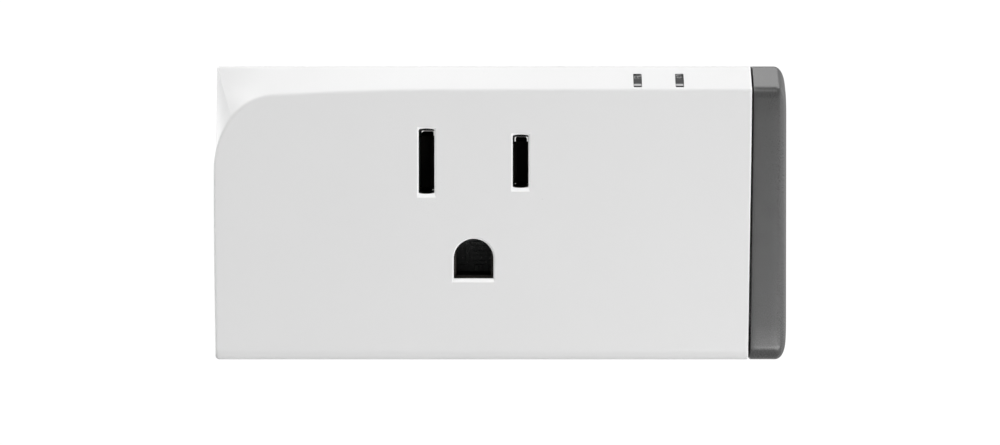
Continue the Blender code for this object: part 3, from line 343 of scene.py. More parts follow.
@dataclass(frozen=True)
class RimHighlightPlastic(MouldedPlastic):
    """Moulded plastic with painted highlights along its edges, round the openings and at the seam,
    where the broken edges would catch the light.

    An opening is (x, z, half width, half height, arched); the seam is (x at height 0, lean).
    """

    openings: tuple[tuple[float, float, float, float, bool], ...] = ()
    seam: tuple[float, float] = (0.0, 0.0)
    rim: float = 0.22 * MM
    foot_rim: float = 0.6 * MM
    front: float = 0.0
    rim_depth: float = 0.6 * MM
    painted_highlight_colour: tuple[float, float, float] = (0.87, 0.87, 0.87)

    def dress(self, graph: Graph) -> None:
        """Blend the moulded colour towards the painted highlight colour near each edge.

        Args:
            graph: the material's node graph.
        """
        super().dress(graph)
        x, y, z = graph.axis("X"), graph.axis("Y"), graph.axis("Z")
        share: Any = 0.0
        for centre_x, centre_z, half_x, half_z, arched in self.openings:
            across = abs(x - centre_x)
            up = z - centre_z
            foot = (-1.0 * up - half_z) * (self.rim / self.foot_rim)
            if arched:
                head = (across * across + up.largest(0.0) * up.largest(0.0)) ** 0.5 - half_x
            else:
                head = (across - half_x).largest(up - half_z)
            gap = head.largest(foot)
            # painted highlight round each opening, wider along its lower lead-in
            share = (1.0 - gap.ramp(0.6 * self.rim, self.rim)).largest(share)
        share = share * (1.0 - y.ramp(self.front + 0.6 * self.rim_depth, self.front + self.rim_depth))
        lip = x - self.seam[0] - z * self.seam[1]
        # painted highlight along the seam's edge
        share = share.largest(lip.ramp(-self.rim, -0.5 * self.rim))
        graph.set(Base_Color=graph.blend(share, graph.fed("Base Color"), self.painted_highlight_colour))


@dataclass(frozen=True)
class DrawnMetal(Finish):
    """Plated or bare metal with fine lines along one axis and faint stains."""

    metallic: float = 1.0
    along: tuple[float, float, float] = (1.0, 0.06, 1.0)
    line: float = 0.12 * MM
    line_depth: float = 0.003 * MM
    line_tone: float = 0.06
    line_sheen: float = 0.22
    stain: float = 0.12
    stain_size: float = 3.0 * MM
    stain_sheen: float = 0.12

    def dress(self, graph: Graph) -> None:
        """Lines in normal and roughness, stains in colour.

        Args:
            graph: the material's node graph.
        """
        lines = graph.noise(self.line, 3.0, graph.stretched(self.along))
        stains = graph.noise(self.stain_size, 3.0)
        tone = 1.0 - self.stain * stains.ramp(0.45, 0.75) - self.line_tone * lines
        rough = self.roughness + (lines - 0.5) * self.line_sheen + (stains - 0.5) * self.stain_sheen
        graph.set(Base_Color=graph.shade(self.colour, tone), Roughness=rough.held(),
                  Normal=graph.bump(lines, self.line_depth))


@dataclass(frozen=True)
class ShadedRootMetal(DrawnMetal):
    """Drawn metal with painted shade before one depth, for the stretch inside the wall and the case."""

    lit_from: float = 0.0
    run: float = 0.5 * MM
    painted_shade_colour: tuple[float, float, float] = (0.02, 0.018, 0.015)
    shade_roughness: float = 0.7

    def dress(self, graph: Graph) -> None:
        """Blend the metal into a painted shade colour at the root over a short run.

        Args:
            graph: the material's node graph.
        """
        super().dress(graph)
        # painted shade: the root inside the wall and the case goes near black
        share = graph.axis("Y").ramp(self.lit_from - self.run, self.lit_from)
        rough = graph.fed("Roughness") * share + self.shade_roughness * (1.0 - share)
        graph.set(Base_Color=graph.blend(share, self.painted_shade_colour, graph.fed("Base Color")), Roughness=rough)


@dataclass(frozen=True)
class Laminate(Finish):
    """Solder mask over tracks, with tinned pads at crossings."""

    roughness: float = 0.34
    track_pitch: float = 1.27 * MM
    track_gain: float = 1.9
    patch_size: float = 6.0 * MM
    pad_colour: tuple[float, float, float] = (0.05, 0.05, 0.045)
    pad_metallic: float = 0.9
    pad_sheen: float = 0.08
    weave_size: float = 0.4 * MM
    weave_sheen: float = 0.12
    relief: float = 0.03 * MM
    across: str = "X"
    up: str = "Z"

    def dress(self, graph: Graph) -> None:
        """Tracks run in two directions, switched by coarse cells; pads are round.

        Args:
            graph: the material's node graph.
        """
        turn = 2.0 * math.pi / self.track_pitch
        first = (graph.axis(self.across) * turn).sine()
        second = (graph.axis(self.up) * turn).sine()
        patch = graph.lot(self.patch_size)
        choose = patch.above(0.5)
        tracks = (first.ramp(0.1, 0.35) * choose + second.ramp(0.1, 0.35) * (1.0 - choose)).held()
        pads = ((first * second).above(0.93) * patch.above(0.3)).held()
        over_track = tuple(min(1.0, c * self.track_gain + 0.01) for c in self.colour)
        mask = graph.blend(tracks, self.colour, over_track)
        weave = graph.noise(self.weave_size)
        rough = self.roughness - pads * self.pad_sheen + (weave - 0.5) * self.weave_sheen
        graph.set(Base_Color=graph.blend(pads, mask, self.pad_colour),
                  Metallic=pads * self.pad_metallic, Roughness=rough.held(),
                  Normal=graph.bump(tracks * 0.7 + pads + weave * 0.15, self.relief))


@dataclass(frozen=True)
class Sleeve(Finish):
    """Shrunk sleeve on a can, with a plain pale stripe down one side."""

    stripe: tuple[float, float, float] = (0.42, 0.43, 0.44)
    centre: float = 0.0
    half_width: float = 0.9 * MM
    stripe_foot: float = -6.0 * MM
    ripple_size: float = 1.4 * MM
    ripple_depth: float = 0.05 * MM
    ripple_sheen: float = 0.15

    def dress(self, graph: Graph) -> None:
        """The stripe follows X; shrink ripples run round the can.

        Args:
            graph: the material's node graph.
        """
        band = abs(graph.axis("X") - self.centre).below(self.half_width)
        front = graph.axis("Z").above(self.stripe_foot)
        ripple = graph.noise(self.ripple_size, 2.0, graph.stretched((1.0, 0.25, 1.0)))
        rough = self.roughness + (ripple - 0.5) * self.ripple_sheen
        graph.set(Base_Color=graph.blend(band * front, self.colour, self.stripe),
                  Roughness=rough.held(), Normal=graph.bump(ripple, self.ripple_depth))


@dataclass(frozen=True)
class Winding(Finish):
    """Enamelled wire laid in turns along the coil's axis."""

    roughness: float = 0.3
    metallic: float = 0.85
    wire: float = 0.18 * MM
    relief: float = 0.05 * MM
    drift_size: float = 1.2 * MM
    along: str = "Y"

    def dress(self, graph: Graph) -> None:
        """Each turn is one period of a sine in the height, with painted shade in the valleys.

        Args:
            graph: the material's node graph.
        """
        turns = (graph.axis(self.along) * (2.0 * math.pi / self.wire)).sine() * 0.5 + 0.5
        drift = graph.noise(self.drift_size)
        # painted shade: the colour darkens in the valleys between turns
        graph.set(Base_Color=graph.shade(self.colour, 0.45 + 0.5 * turns + 0.15 * drift),
                  Roughness=(self.roughness + 0.2 * (1.0 - turns)).held(),
                  Normal=graph.bump(turns, self.relief))


@dataclass(frozen=True)
class SmokedLens(Finish):
    """Smoked clear plastic: dark where the depth shows, with a painted highlight along its lower lip
    and a paler mottle at the top.
    """

    foot: float = 0.0
    rise: float = 1.7 * MM
    gloss: float = 0.1
    highlight_and_mottle_colour: tuple[float, float, float] = (0.42, 0.42, 0.42)
    mottle: float = 0.42 * MM
    mottle_share: float = 0.5
    ripple_size: float = 0.3 * MM
    ripple_depth: float = 0.02 * MM
    ripple_sheen: float = 0.2

    def dress(self, graph: Graph) -> None:
        """The tone runs from a painted highlight at the foot through a dark middle to a mottled top.

        Args:
            graph: the material's node graph.
        """
        share = (graph.axis("Z") - self.foot) / self.rise
        # painted highlight: a pale strip at the foot, where the window's lower wall would catch the
        # light
        foot = share.ramp(0.07, 0.12) * (1.0 - share.ramp(0.2, 0.27))
        top = share.ramp(0.55, 0.8) * graph.noise(self.mottle, 1.0).ramp(0.45, 0.6)
        tone = (foot + top * self.mottle_share).held()
        ripple = graph.noise(self.ripple_size)
        rough = self.roughness + (ripple - 0.5) * self.ripple_sheen
        graph.set(Base_Color=graph.blend(tone, self.colour, self.highlight_and_mottle_colour), Roughness=rough.held(),
                  Normal=graph.bump(ripple, self.ripple_depth), Specular_IOR_Level=self.gloss)


# ---------------------------------------------------------------- surfaces


def bezier(start: np.ndarray, corner: np.ndarray, end: np.ndarray, steps: int) -> list[np.ndarray]:
    """Round a corner between two loops.

    Each point is (1 - s)^2 x start + 2s(1 - s) x corner + s^2 x end, with s from 0 to 1.

    Args:
        start: the loop where the rounding begins.
        corner: the sharp corner's loop.
        end: the loop where the rounding ends.
        steps: how many loops to return.

    Returns:
        The loops from start to end.
    """
    shares = np.linspace(0.0, 1.0, steps)
    return [(1 - s) ** 2 * start + 2 * s * (1 - s) * corner + s ** 2 * end for s in shares]


def between(start: np.ndarray, end: np.ndarray, steps: int) -> list[np.ndarray]:
    """Return the loops strictly between two loops, start + share x (end - start) for even shares."""
    return [start + (end - start) * share for share in np.linspace(0.0, 1.0, steps)[1:-1]]


def skin(name: str, loops: list[np.ndarray], smooth_angle: float = 32.0,
         capped: bool = True) -> bpy.types.Object:
    """Skin closed loops of points in order into one mesh.

    Vertex k of loop j sits at row j, column k of a grid; each face joins two columns of two rows,
    and the first and last loops are closed by one face each.

    Args:
        name: the object's name.
        loops: arrays of points, all of the same length.
        smooth_angle: edges sharper than this, in degrees, stay sharp.
        capped: whether the two ends are closed.

    Returns:
        The new object.
    """
    grid = np.stack(loops)
    rows, columns = grid.shape[:2]
    index = np.arange(rows * columns).reshape(rows, columns)
    following = np.roll(index, -1, axis=1)
    quads = np.stack([index[:-1], following[:-1], following[1:], index[1:]], axis=-1).reshape(-1, 4)
    faces = quads.tolist()
    if capped:
        faces += [index[0, ::-1].tolist(), index[-1].tolist()]
    mesh = bpy.data.meshes.new(name)
    mesh.from_pydata(grid.reshape(-1, 3).tolist(), [], faces)
    return finish_mesh(name, mesh, smooth_angle)


def smooth(mesh: bpy.types.Mesh, angle: float) -> None:
    """Shade a mesh smooth, but keep edges sharper than an angle in degrees."""
    mesh.shade_smooth()
    mesh.set_sharp_from_angle(angle=math.radians(angle))


def finish_mesh(name: str, mesh: bpy.types.Mesh, smooth_angle: float) -> bpy.types.Object:
    """Merge doubles, turn the faces outward, shade smooth by angle and link the object.

    Args:
        name: the object's name.
        mesh: its mesh.
        smooth_angle: edges sharper than this, in degrees, stay sharp.

    Returns:
        The new object.
    """
    work = bmesh.new()
    work.from_mesh(mesh)
    bmesh.ops.remove_doubles(work, verts=work.verts, dist=0.0005 * MM)
    bmesh.ops.recalc_face_normals(work, faces=work.faces)
    work.to_mesh(mesh)
    work.free()
    smooth(mesh, smooth_angle)
    item = bpy.data.objects.new(name, mesh)
    bpy.context.scene.collection.objects.link(item)
    return item


def carve(item: bpy.types.Object, tools: list[bpy.types.Object], operation: str = "DIFFERENCE",
          smooth_angle: float = 32.0) -> bpy.types.Object:
    """Cut tools from an item, keep the result as its mesh and remove the tools.

    Args:
        item: the piece to cut.
        tools: the cutters, in order.
        operation: DIFFERENCE to cut them out, or UNION to join them on.
        smooth_angle: edges sharper than this, in degrees, stay sharp.

    Returns:
        The item.
    """
    for tool in tools:
        step = item.modifiers.new(tool.name, "BOOLEAN")
        step.operation = operation
        step.solver = "EXACT"
        step.object = tool
    evaluated = item.evaluated_get(bpy.context.evaluated_depsgraph_get())
    mesh = bpy.data.meshes.new_from_object(evaluated)
    item.modifiers.clear()
    item.data = mesh
    for tool in tools:
        bpy.data.objects.remove(tool)
    smooth(mesh, smooth_angle)
    return item


def spun(name: str, profile: np.ndarray, base: tuple[float, float, float], axis: str,
         steps: int = 96) -> bpy.types.Object:
    """Spin a profile about an axis.

    A point at radius r and height h goes to base + h along the axis + r (cos a, sin a) across it.

    Args:
        name: the object's name.
        profile: rows of (radius, height) from one end to the other, with radius 0 at neither.
        base: where height 0 lies.
        axis: "X" or "Y".
        steps: how many columns go round.

    Returns:
        The new object.
    """
    angles = np.linspace(0.0, 2.0 * math.pi, steps, endpoint=False)
    across = profile[:, :1] * np.cos(angles)
    up = profile[:, :1] * np.sin(angles)
    height = np.broadcast_to(profile[:, 1:], across.shape)
    order = {"X": (height, across, up), "Y": (across, height, up)}[axis]
    grid = np.stack(order, axis=-1) + np.array(base)
    return skin(name, list(grid), 34.0)


def rounded_rectangle(half_width: float, half_height: float, radius: float, arc: int = 8,
                      bulge: float = 0.0, drop: float = 0.0) -> np.ndarray:
    """Return a closed rounded rectangle about the origin, as rows of (across, up).

    Args:
        half_width: half its width.
        half_height: half its height.
        radius: its corner radius.
        arc: points in each corner.
        bulge: how far the middle of its top and bottom stands out, as a parabola.
        drop: how much further down its lower side lies.

    Returns:
        The points, counter-clockwise.
    """
    angles = np.linspace(0.0, 0.5 * math.pi, arc)
    corner = np.stack([np.cos(angles), np.sin(angles)], axis=1) * radius
    turns = [(1, 1), (-1, 1), (-1, -1), (1, -1)]
    parts = []
    for number, (side_x, side_y) in enumerate(turns):
        piece = corner if number % 2 == 0 else corner[::-1]
        centre = np.array([half_width - radius, half_height - radius])
        parts.append((centre + piece) * np.array([side_x, side_y]))
        if number % 2 == 0:
            inner = np.linspace(side_x, -side_x, 9)[1:-1]
            row = np.stack([inner * (half_width - radius),
                            np.full(inner.shape, side_y * half_height)], axis=1)
            parts.append(row)
    points = np.concatenate(parts)
    share = np.clip(np.abs(points[:, 0]) / half_width, 0.0, 1.0)
    crown = bulge * (1.0 - share ** 2) * np.sign(points[:, 1])
    edge = np.abs(points[:, 1]) > half_height - radius
    points[:, 1] += np.where(edge, crown, 0.0)
    points[:, 1] -= np.where(points[:, 1] < 0, drop, 0.0)
    return points


def standing(outline: np.ndarray, y: Any) -> np.ndarray:
    """Stand an outline of (x, z) rows at one depth, or at a depth for each row."""
    depth = np.broadcast_to(y, outline.shape[:1])
    return np.stack([outline[:, 0], depth, outline[:, 1]], axis=1)


@dataclass
class CaseShape:
    """Outline rules that the shell, the tray and the cap share, read from the frame's boxes."""

    bow: float = 0.15 * MM
    lean: float = 0.5 * MM
    seam_gap: float = 0.24 * MM
    parting_gap: float = 0.3 * MM
    lip_height: float = 1.5 * MM
    band_drop: float = 3.1 * MM
    band_depth: float = 6.0 * MM
    sweep_width: float = 7.85 * MM
    sweep_height: float = 9.9 * MM
    sag: float = 0.7 * MM
    sag_run: float = 22.0 * MM
    wall: float = 2.0 * MM
    lower_corner: float = 0.55 * MM
    seam_corner: float = 0.1 * MM
    squareness: float = 160.0
    corner_steps: int = 8
    turn_steps: int = 6
    floor_steps: int = 34
    side_steps: int = 18
    roof_steps: int = 44
    sweep_steps: int = 97
    wall_steps: int = 20

    def __post_init__(self) -> None:
        """Read the overall places from the frame."""
        shell_low, shell_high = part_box("front_housing")
        tray_low, tray_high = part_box("rear_housing")
        cap_low, cap_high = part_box("end_cap")
        self.left = shell_low.x
        self.bottom = shell_low.z
        self.top = shell_high.z
        self.front = shell_low.y
        self.rear = tray_high.y
        self.right = cap_high.x
        self.seam = shell_high.x - self.lean / 2
        self.tray_front = tray_low.y + self.lip_height
        self.parting = self.tray_front - self.parting_gap
        self.shoulder = self.front + self.band_depth
        self.face_top = self.top - self.band_drop
        self.sweep_z = self.face_top - self.sag - self.sweep_height
        self.middle = (self.bottom + self.top) / 2
        self.half_height = (self.top - self.bottom) / 2

    def seam_at(self, z: Any) -> Any:
        """Return the seam's X at a height: its middle X plus lean x height / full height."""
        return self.seam + self.lean * (z - self.middle) / (2 * self.half_height)

    def bow_at(self, z: Any) -> Any:
        """Return how far the left side has come in at a height, as a parabola."""
        return self.bow * ((z - self.middle) / self.half_height) ** 2

    def outline(self, left: float, right: float, bottom: float, top: float, square: bool,
                past: float = 0.0) -> np.ndarray:
        """Return the case's outline in X and Z, moved in by a distance on each side.

        Along the sweep, a point at angle a lies at centre + (A cos a, B sin a) divided by the
        p-norm of (cos a, sin a): p = 2 is the front's quarter ellipse, and a large p the
        square corner behind the band.

        Args:
            left: how far the left side moves in.
            right: how far the seam side moves in.
            bottom: how far the lower side moves in.
            top: how far the upper side moves in.
            square: whether to return the outline behind the band.
            past: how far the right side is pushed out past the seam.

        Returns:
            Rows of (x, z), counter-clockwise from the lower left corner.
        """
        low = self.bottom + bottom
        high = (self.top if square else self.face_top) - top
        centre_x = self.left + self.bow_at(self.sweep_z) + self.sweep_width
        reach_x = self.sweep_width - left
        sag = 0.0 if square else self.sag
        reach_z = high - sag - self.sweep_z
        radius = self.lower_corner
        quarter = np.linspace(math.pi, 1.5 * math.pi, self.corner_steps)
        start = self.left + left + self.bow_at(low)
        corner = np.stack([start + radius * (1 + np.cos(quarter)),
                           low + radius * (1 + np.sin(quarter))], axis=1)
        small = self.seam_corner
        right_low = self.seam_at(low) - right + past
        right_high = self.seam_at(high) - right + past
        floor_x = np.linspace(start + radius, right_low - small, self.floor_steps)[1:]
        floor = np.stack([floor_x, np.full(floor_x.shape, low)], axis=1)
        turn = np.linspace(-0.5 * math.pi, 0.0, self.turn_steps)[1:]
        lower_right = np.stack([right_low - small + small * np.cos(turn),
                                low + small + small * np.sin(turn)], axis=1)
        side_z = np.linspace(low + small, high - small, self.side_steps)[1:]
        side = np.stack([self.seam_at(side_z) - right + past, side_z], axis=1)
        turn = np.linspace(0.0, 0.5 * math.pi, self.turn_steps)[1:]
        upper_right = np.stack([right_high - small + small * np.cos(turn),
                                high - small + small * np.sin(turn)], axis=1)
        roof_x = np.linspace(right_high - small, centre_x, self.roof_steps)[1:]
        run = np.clip((centre_x + self.sag_run - roof_x) / self.sag_run, 0.0, 1.0)
        roof = np.stack([roof_x, high - sag * run ** 2], axis=1)
        angle = np.linspace(0.5 * math.pi, math.pi, self.sweep_steps)[1:]
        power = self.squareness if square else 2.0
        norm = (np.abs(np.cos(angle)) ** power + np.sin(angle) ** power) ** (1.0 / power)
        sweep_z = self.sweep_z + reach_z * np.sin(angle) / norm
        sweep_x = centre_x + reach_x * np.cos(angle) / norm
        near = (centre_x - sweep_x) / reach_x
        sweep_x = sweep_x + (self.bow_at(sweep_z) - self.bow_at(self.sweep_z)) * near
        sweep = np.stack([sweep_x, sweep_z], axis=1)
        left_z = np.linspace(self.sweep_z, low + radius, self.wall_steps)[1:-1]
        wall = np.stack([self.left + left + self.bow_at(left_z), left_z], axis=1)
        return np.concatenate([corner, floor, lower_right, side, upper_right, roof, sweep, wall])


# ---------------------------------------------------------------- pieces


def keep(item: bpy.types.Object, finish: Finish, body: Body, slot: Slot, *nodes: str) -> None:
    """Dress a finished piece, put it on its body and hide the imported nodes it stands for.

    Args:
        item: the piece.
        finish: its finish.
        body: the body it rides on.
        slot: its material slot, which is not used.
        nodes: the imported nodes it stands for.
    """
    item.data.materials.clear()
    item.data.materials.append(finish.material())
    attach(item, body.value)
    if nodes:
        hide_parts(*nodes)
    LOG.info("%s: %d faces on %s", item.name, len(item.data.polygons), body.value)


WHITE = MouldedPlastic("white_case", (0.67, 0.67, 0.67), 0.3, speck_radius=0.07 * MM, gloss=0.3)
GREY = MouldedPlastic("grey_cap", (0.042, 0.042, 0.042), 0.28, grain=0.1 * MM,
                      grain_depth=0.0015 * MM, flow=0.03, gloss=0.66)
BLACK = MouldedPlastic("black_insulator", (0.013, 0.013, 0.0135), 0.6, flow=0.1, gloss=0.2)


@dataclass
class Shell:
    """White front shell: face, band and sides in one skin, with the socket's openings."""

    shape: CaseShape
    side_round: float = 0.35 * MM
    seam_round: float = 0.1 * MM
    floor_round: float = 1.5 * MM
    band_round: float = 0.4 * MM
    shoulder_round: float = 0.4 * MM
    edge_round: float = 0.15 * MM
    support: float = 0.3 * MM
    slot_bulge: float = 0.12 * MM
    lead_in: float = 0.2 * MM
    lead_depth: float = 0.3 * MM
    lower_lead: float = 0.35 * MM
    slot_width: float = 2.06 * MM
    slot_clearance: float = 0.32 * MM
    slot_rise: float = 0.3 * MM
    slot_in: float = 0.2 * MM
    arch_radius: float = 2.6 * MM
    arch_z: float = -12.45 * MM
    smooth_angle: float = 20.0
    post_radius: float = 2.5 * MM
    post_root: float = 0.3 * MM
    pilot_radius: float = 1.25 * MM
    pilot_depth: float = 9.0 * MM
    post_steps: int = 48
    window_rise: float = 1.7 * MM
    window_gap: float = 0.03 * MM
    opening_corner: float = 0.12 * MM
    face_steps: int = 12
    band_steps: int = 9
    shoulder_steps: int = 6
    side_steps: int = 7
    edge_steps: int = 4

    def loops(self) -> list[np.ndarray]:
        """Return the skin's loops, from the middle of the face round to the parting line.

        The face's edge is rounded between a loop moved in on the face and a loop as far back
        along the ruling that runs from the face's outline to the outline behind the band.
        """
        s = self.shape
        rounds = (self.side_round, self.seam_round, self.floor_round, self.band_round)
        inner = tuple(r + self.support for r in rounds)
        flat = standing(s.outline(*inner, square=False), s.front)
        start = standing(s.outline(*rounds, square=False), s.front)
        edge = standing(s.outline(0, 0, 0, 0, square=False), s.front)
        back = standing(s.outline(0, 0, 0, 0, square=True), s.shoulder)
        ruling = back - edge
        ruling /= np.linalg.norm(ruling, axis=1, keepdims=True)
        reach = np.linalg.norm(start - edge, axis=1, keepdims=True)
        end = edge + ruling * reach
        near = back - ruling * self.shoulder_round
        behind = back + np.array([0.0, self.shoulder_round, 0.0])
        last = standing(s.outline(0, 0, 0, 0, square=True), s.parting)
        turned_in = (self.edge_round,) * 4
        tucked = standing(s.outline(*turned_in, square=True), s.parting)
        before = last - np.array([0.0, self.edge_round, 0.0])
        far = standing(s.outline(*(self.edge_round + self.support,) * 4, square=True), s.parting)
        return ([flat] + bezier(start, edge, end, self.face_steps) + between(end, near, self.band_steps)
                + bezier(near, back, behind, self.shoulder_steps)
                + between(behind, before, self.side_steps)
                + bezier(before, last, tucked, self.edge_steps) + [far])

    def hollow(self) -> bpy.types.Object:
        """Return the cutter for the room inside."""
        s = self.shape
        inset = (s.wall,) * 4
        past = s.wall + (s.right - s.seam)
        slope = math.hypot(s.band_depth, s.band_drop)
        drop = s.wall * (slope - s.band_drop) / s.band_depth
        shoulder = s.shoulder + s.wall * (slope - s.band_depth) / s.band_drop
        face = s.outline(s.wall, s.wall, s.wall, drop, square=False, past=past)
        square = s.outline(*inset, square=True, past=past)
        return skin("hollow", [standing(face, s.front + s.wall), standing(square, shoulder),
                               standing(square, s.parting + s.wall)])

    def lead_levels(self) -> list[tuple[float, float]]:
        """Return an opening cutter's levels.

        The lead-in shrinks evenly with depth, so a level ahead of the face is wider than it.

        Returns:
            Rows of (Y, share of the full lead-in), from ahead of the face to inside the case.
        """
        s = self.shape
        ahead = 1.0 * MM
        return [(s.front - ahead, 1.0 + ahead / self.lead_depth), (s.front, 1.0),
                (s.front + self.lead_depth, 0.0), (s.front + s.wall + ahead, 0.0)]

    def slot_place(self, blade: str) -> tuple[Vector, float]:
        """Return a blade slot's centre and half its height.

        Args:
            blade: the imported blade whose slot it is.

        Returns:
            The centre and the half height.
        """
        low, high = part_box(blade)
        middle = (low + high) / 2
        inward = -math.copysign(self.slot_in, middle.x)
        middle += Vector((inward, 0.0, self.slot_rise))
        return middle, (high.z - low.z) / 2 + self.slot_clearance

    def slot_tool(self, blade: str) -> bpy.types.Object:
        """Return the cutter for a blade slot, whose lead-in is widest below.

        Args:
            blade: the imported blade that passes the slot.
        """
        middle, half_height = self.slot_place(blade)
        half_height -= self.slot_bulge
        loops = []
        for y, share in self.lead_levels():
            outline = rounded_rectangle(self.slot_width / 2 + self.lead_in * share,
                                        half_height + self.lead_in * share, self.opening_corner,
                                        bulge=self.slot_bulge, drop=self.lower_lead * share)
            loops.append(standing(outline + np.array([middle.x, middle.z]), y))
        return skin("slot", loops)

    def arch_tool(self) -> bpy.types.Object:
        """Return the cutter for the earth hole: a half circle on a square of the same width."""
        angle = np.linspace(0.0, math.pi, 49)
        floor = np.linspace(-1.0, 1.0, 13)[1:-1]
        loops = []
        for y, share in self.lead_levels():
            wide = self.arch_radius + self.lead_in * share
            low = -self.arch_radius - (self.lead_in + self.lower_lead) * share
            top = np.stack([wide * np.cos(angle), wide * np.sin(angle)], axis=1)
            sides = np.linspace(0.0, low, 9)[1:]
            left = np.stack([np.full(sides.shape, -wide), sides], axis=1)
            base = np.stack([wide * floor, np.full(floor.shape, low)], axis=1)
            right = np.stack([np.full(sides.shape, wide), sides], axis=1)[::-1]
            outline = np.concatenate([top, left, base, right]) + np.array([0.0, self.arch_z])
            loops.append(standing(outline, y))
        return skin("arch", loops)

    def window_tool(self, pipe: str) -> bpy.types.Object:
        """Return the cutter for a status window through the band.

        Args:
            pipe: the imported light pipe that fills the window.
        """
        low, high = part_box(pipe)
        outline = rounded_rectangle((high.x - low.x) / 2 + self.window_gap,
                                    self.window_rise / 2 + self.window_gap, self.opening_corner)
        outline += np.array([(low.x + high.x) / 2, high.z - self.window_rise / 2])
        return skin("window", [standing(outline, self.shape.front),
                               standing(outline, self.shape.shoulder)])

    def build(self) -> None:
        """Build the shell."""
        item = skin("front_shell", self.loops(), self.smooth_angle)
        tools = [self.hollow(), self.slot_tool("neutral_blade"), self.slot_tool("hot_blade"),
                 self.arch_tool(), self.window_tool("light_pipe_left"),
                 self.window_tool("light_pipe_right")]
        carve(item, tools, smooth_angle=self.smooth_angle)
        keep(item, self.finish(), Body.CASE, Slot.WHITE, "front_housing")
        self.posts()

    def posts(self) -> None:
        """Build the screw posts: each a bar with a pilot hole at its end.

        A post grows from the face's inner side, or under the band from the shoulder's depth.
        """
        s = self.shape
        for number in (1, 2, 3):
            low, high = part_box(f"screw_{number}")
            middle = (low + high) / 2
            start = s.shoulder if middle.z > s.sweep_z else s.front + s.wall - self.post_root
            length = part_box("front_housing")[1].y - start
            wide, narrow = self.post_radius, self.pilot_radius
            profile = np.array([(wide, 0.0), (wide, length - self.edge_round),
                                (wide - self.edge_round, length), (narrow, length),
                                (narrow, length - self.pilot_depth)])
            item = spun(f"screw_post_{number}", profile, (middle.x, start, middle.z), "Y",
                        self.post_steps)
            keep(item, WHITE, Body.CASE, Slot.WHITE)

    def finish(self) -> RimHighlightPlastic:
        """Return the shell's finish, which knows where the openings and the seam are for its painted
        highlights.
        """
        s = self.shape
        openings = [(0.0, self.arch_z, self.arch_radius, self.arch_radius, True)]
        for blade in ("neutral_blade", "hot_blade"):
            middle, half_height = self.slot_place(blade)
            openings.append((middle.x, middle.z, self.slot_width / 2, half_height, False))
        lean = s.lean / (2 * s.half_height)
        return RimHighlightPlastic("white_shell", WHITE.colour, WHITE.roughness, gloss=WHITE.gloss,
                             speck_radius=WHITE.speck_radius, openings=tuple(openings),
                             seam=(s.seam - lean * s.middle, lean), front=s.front)


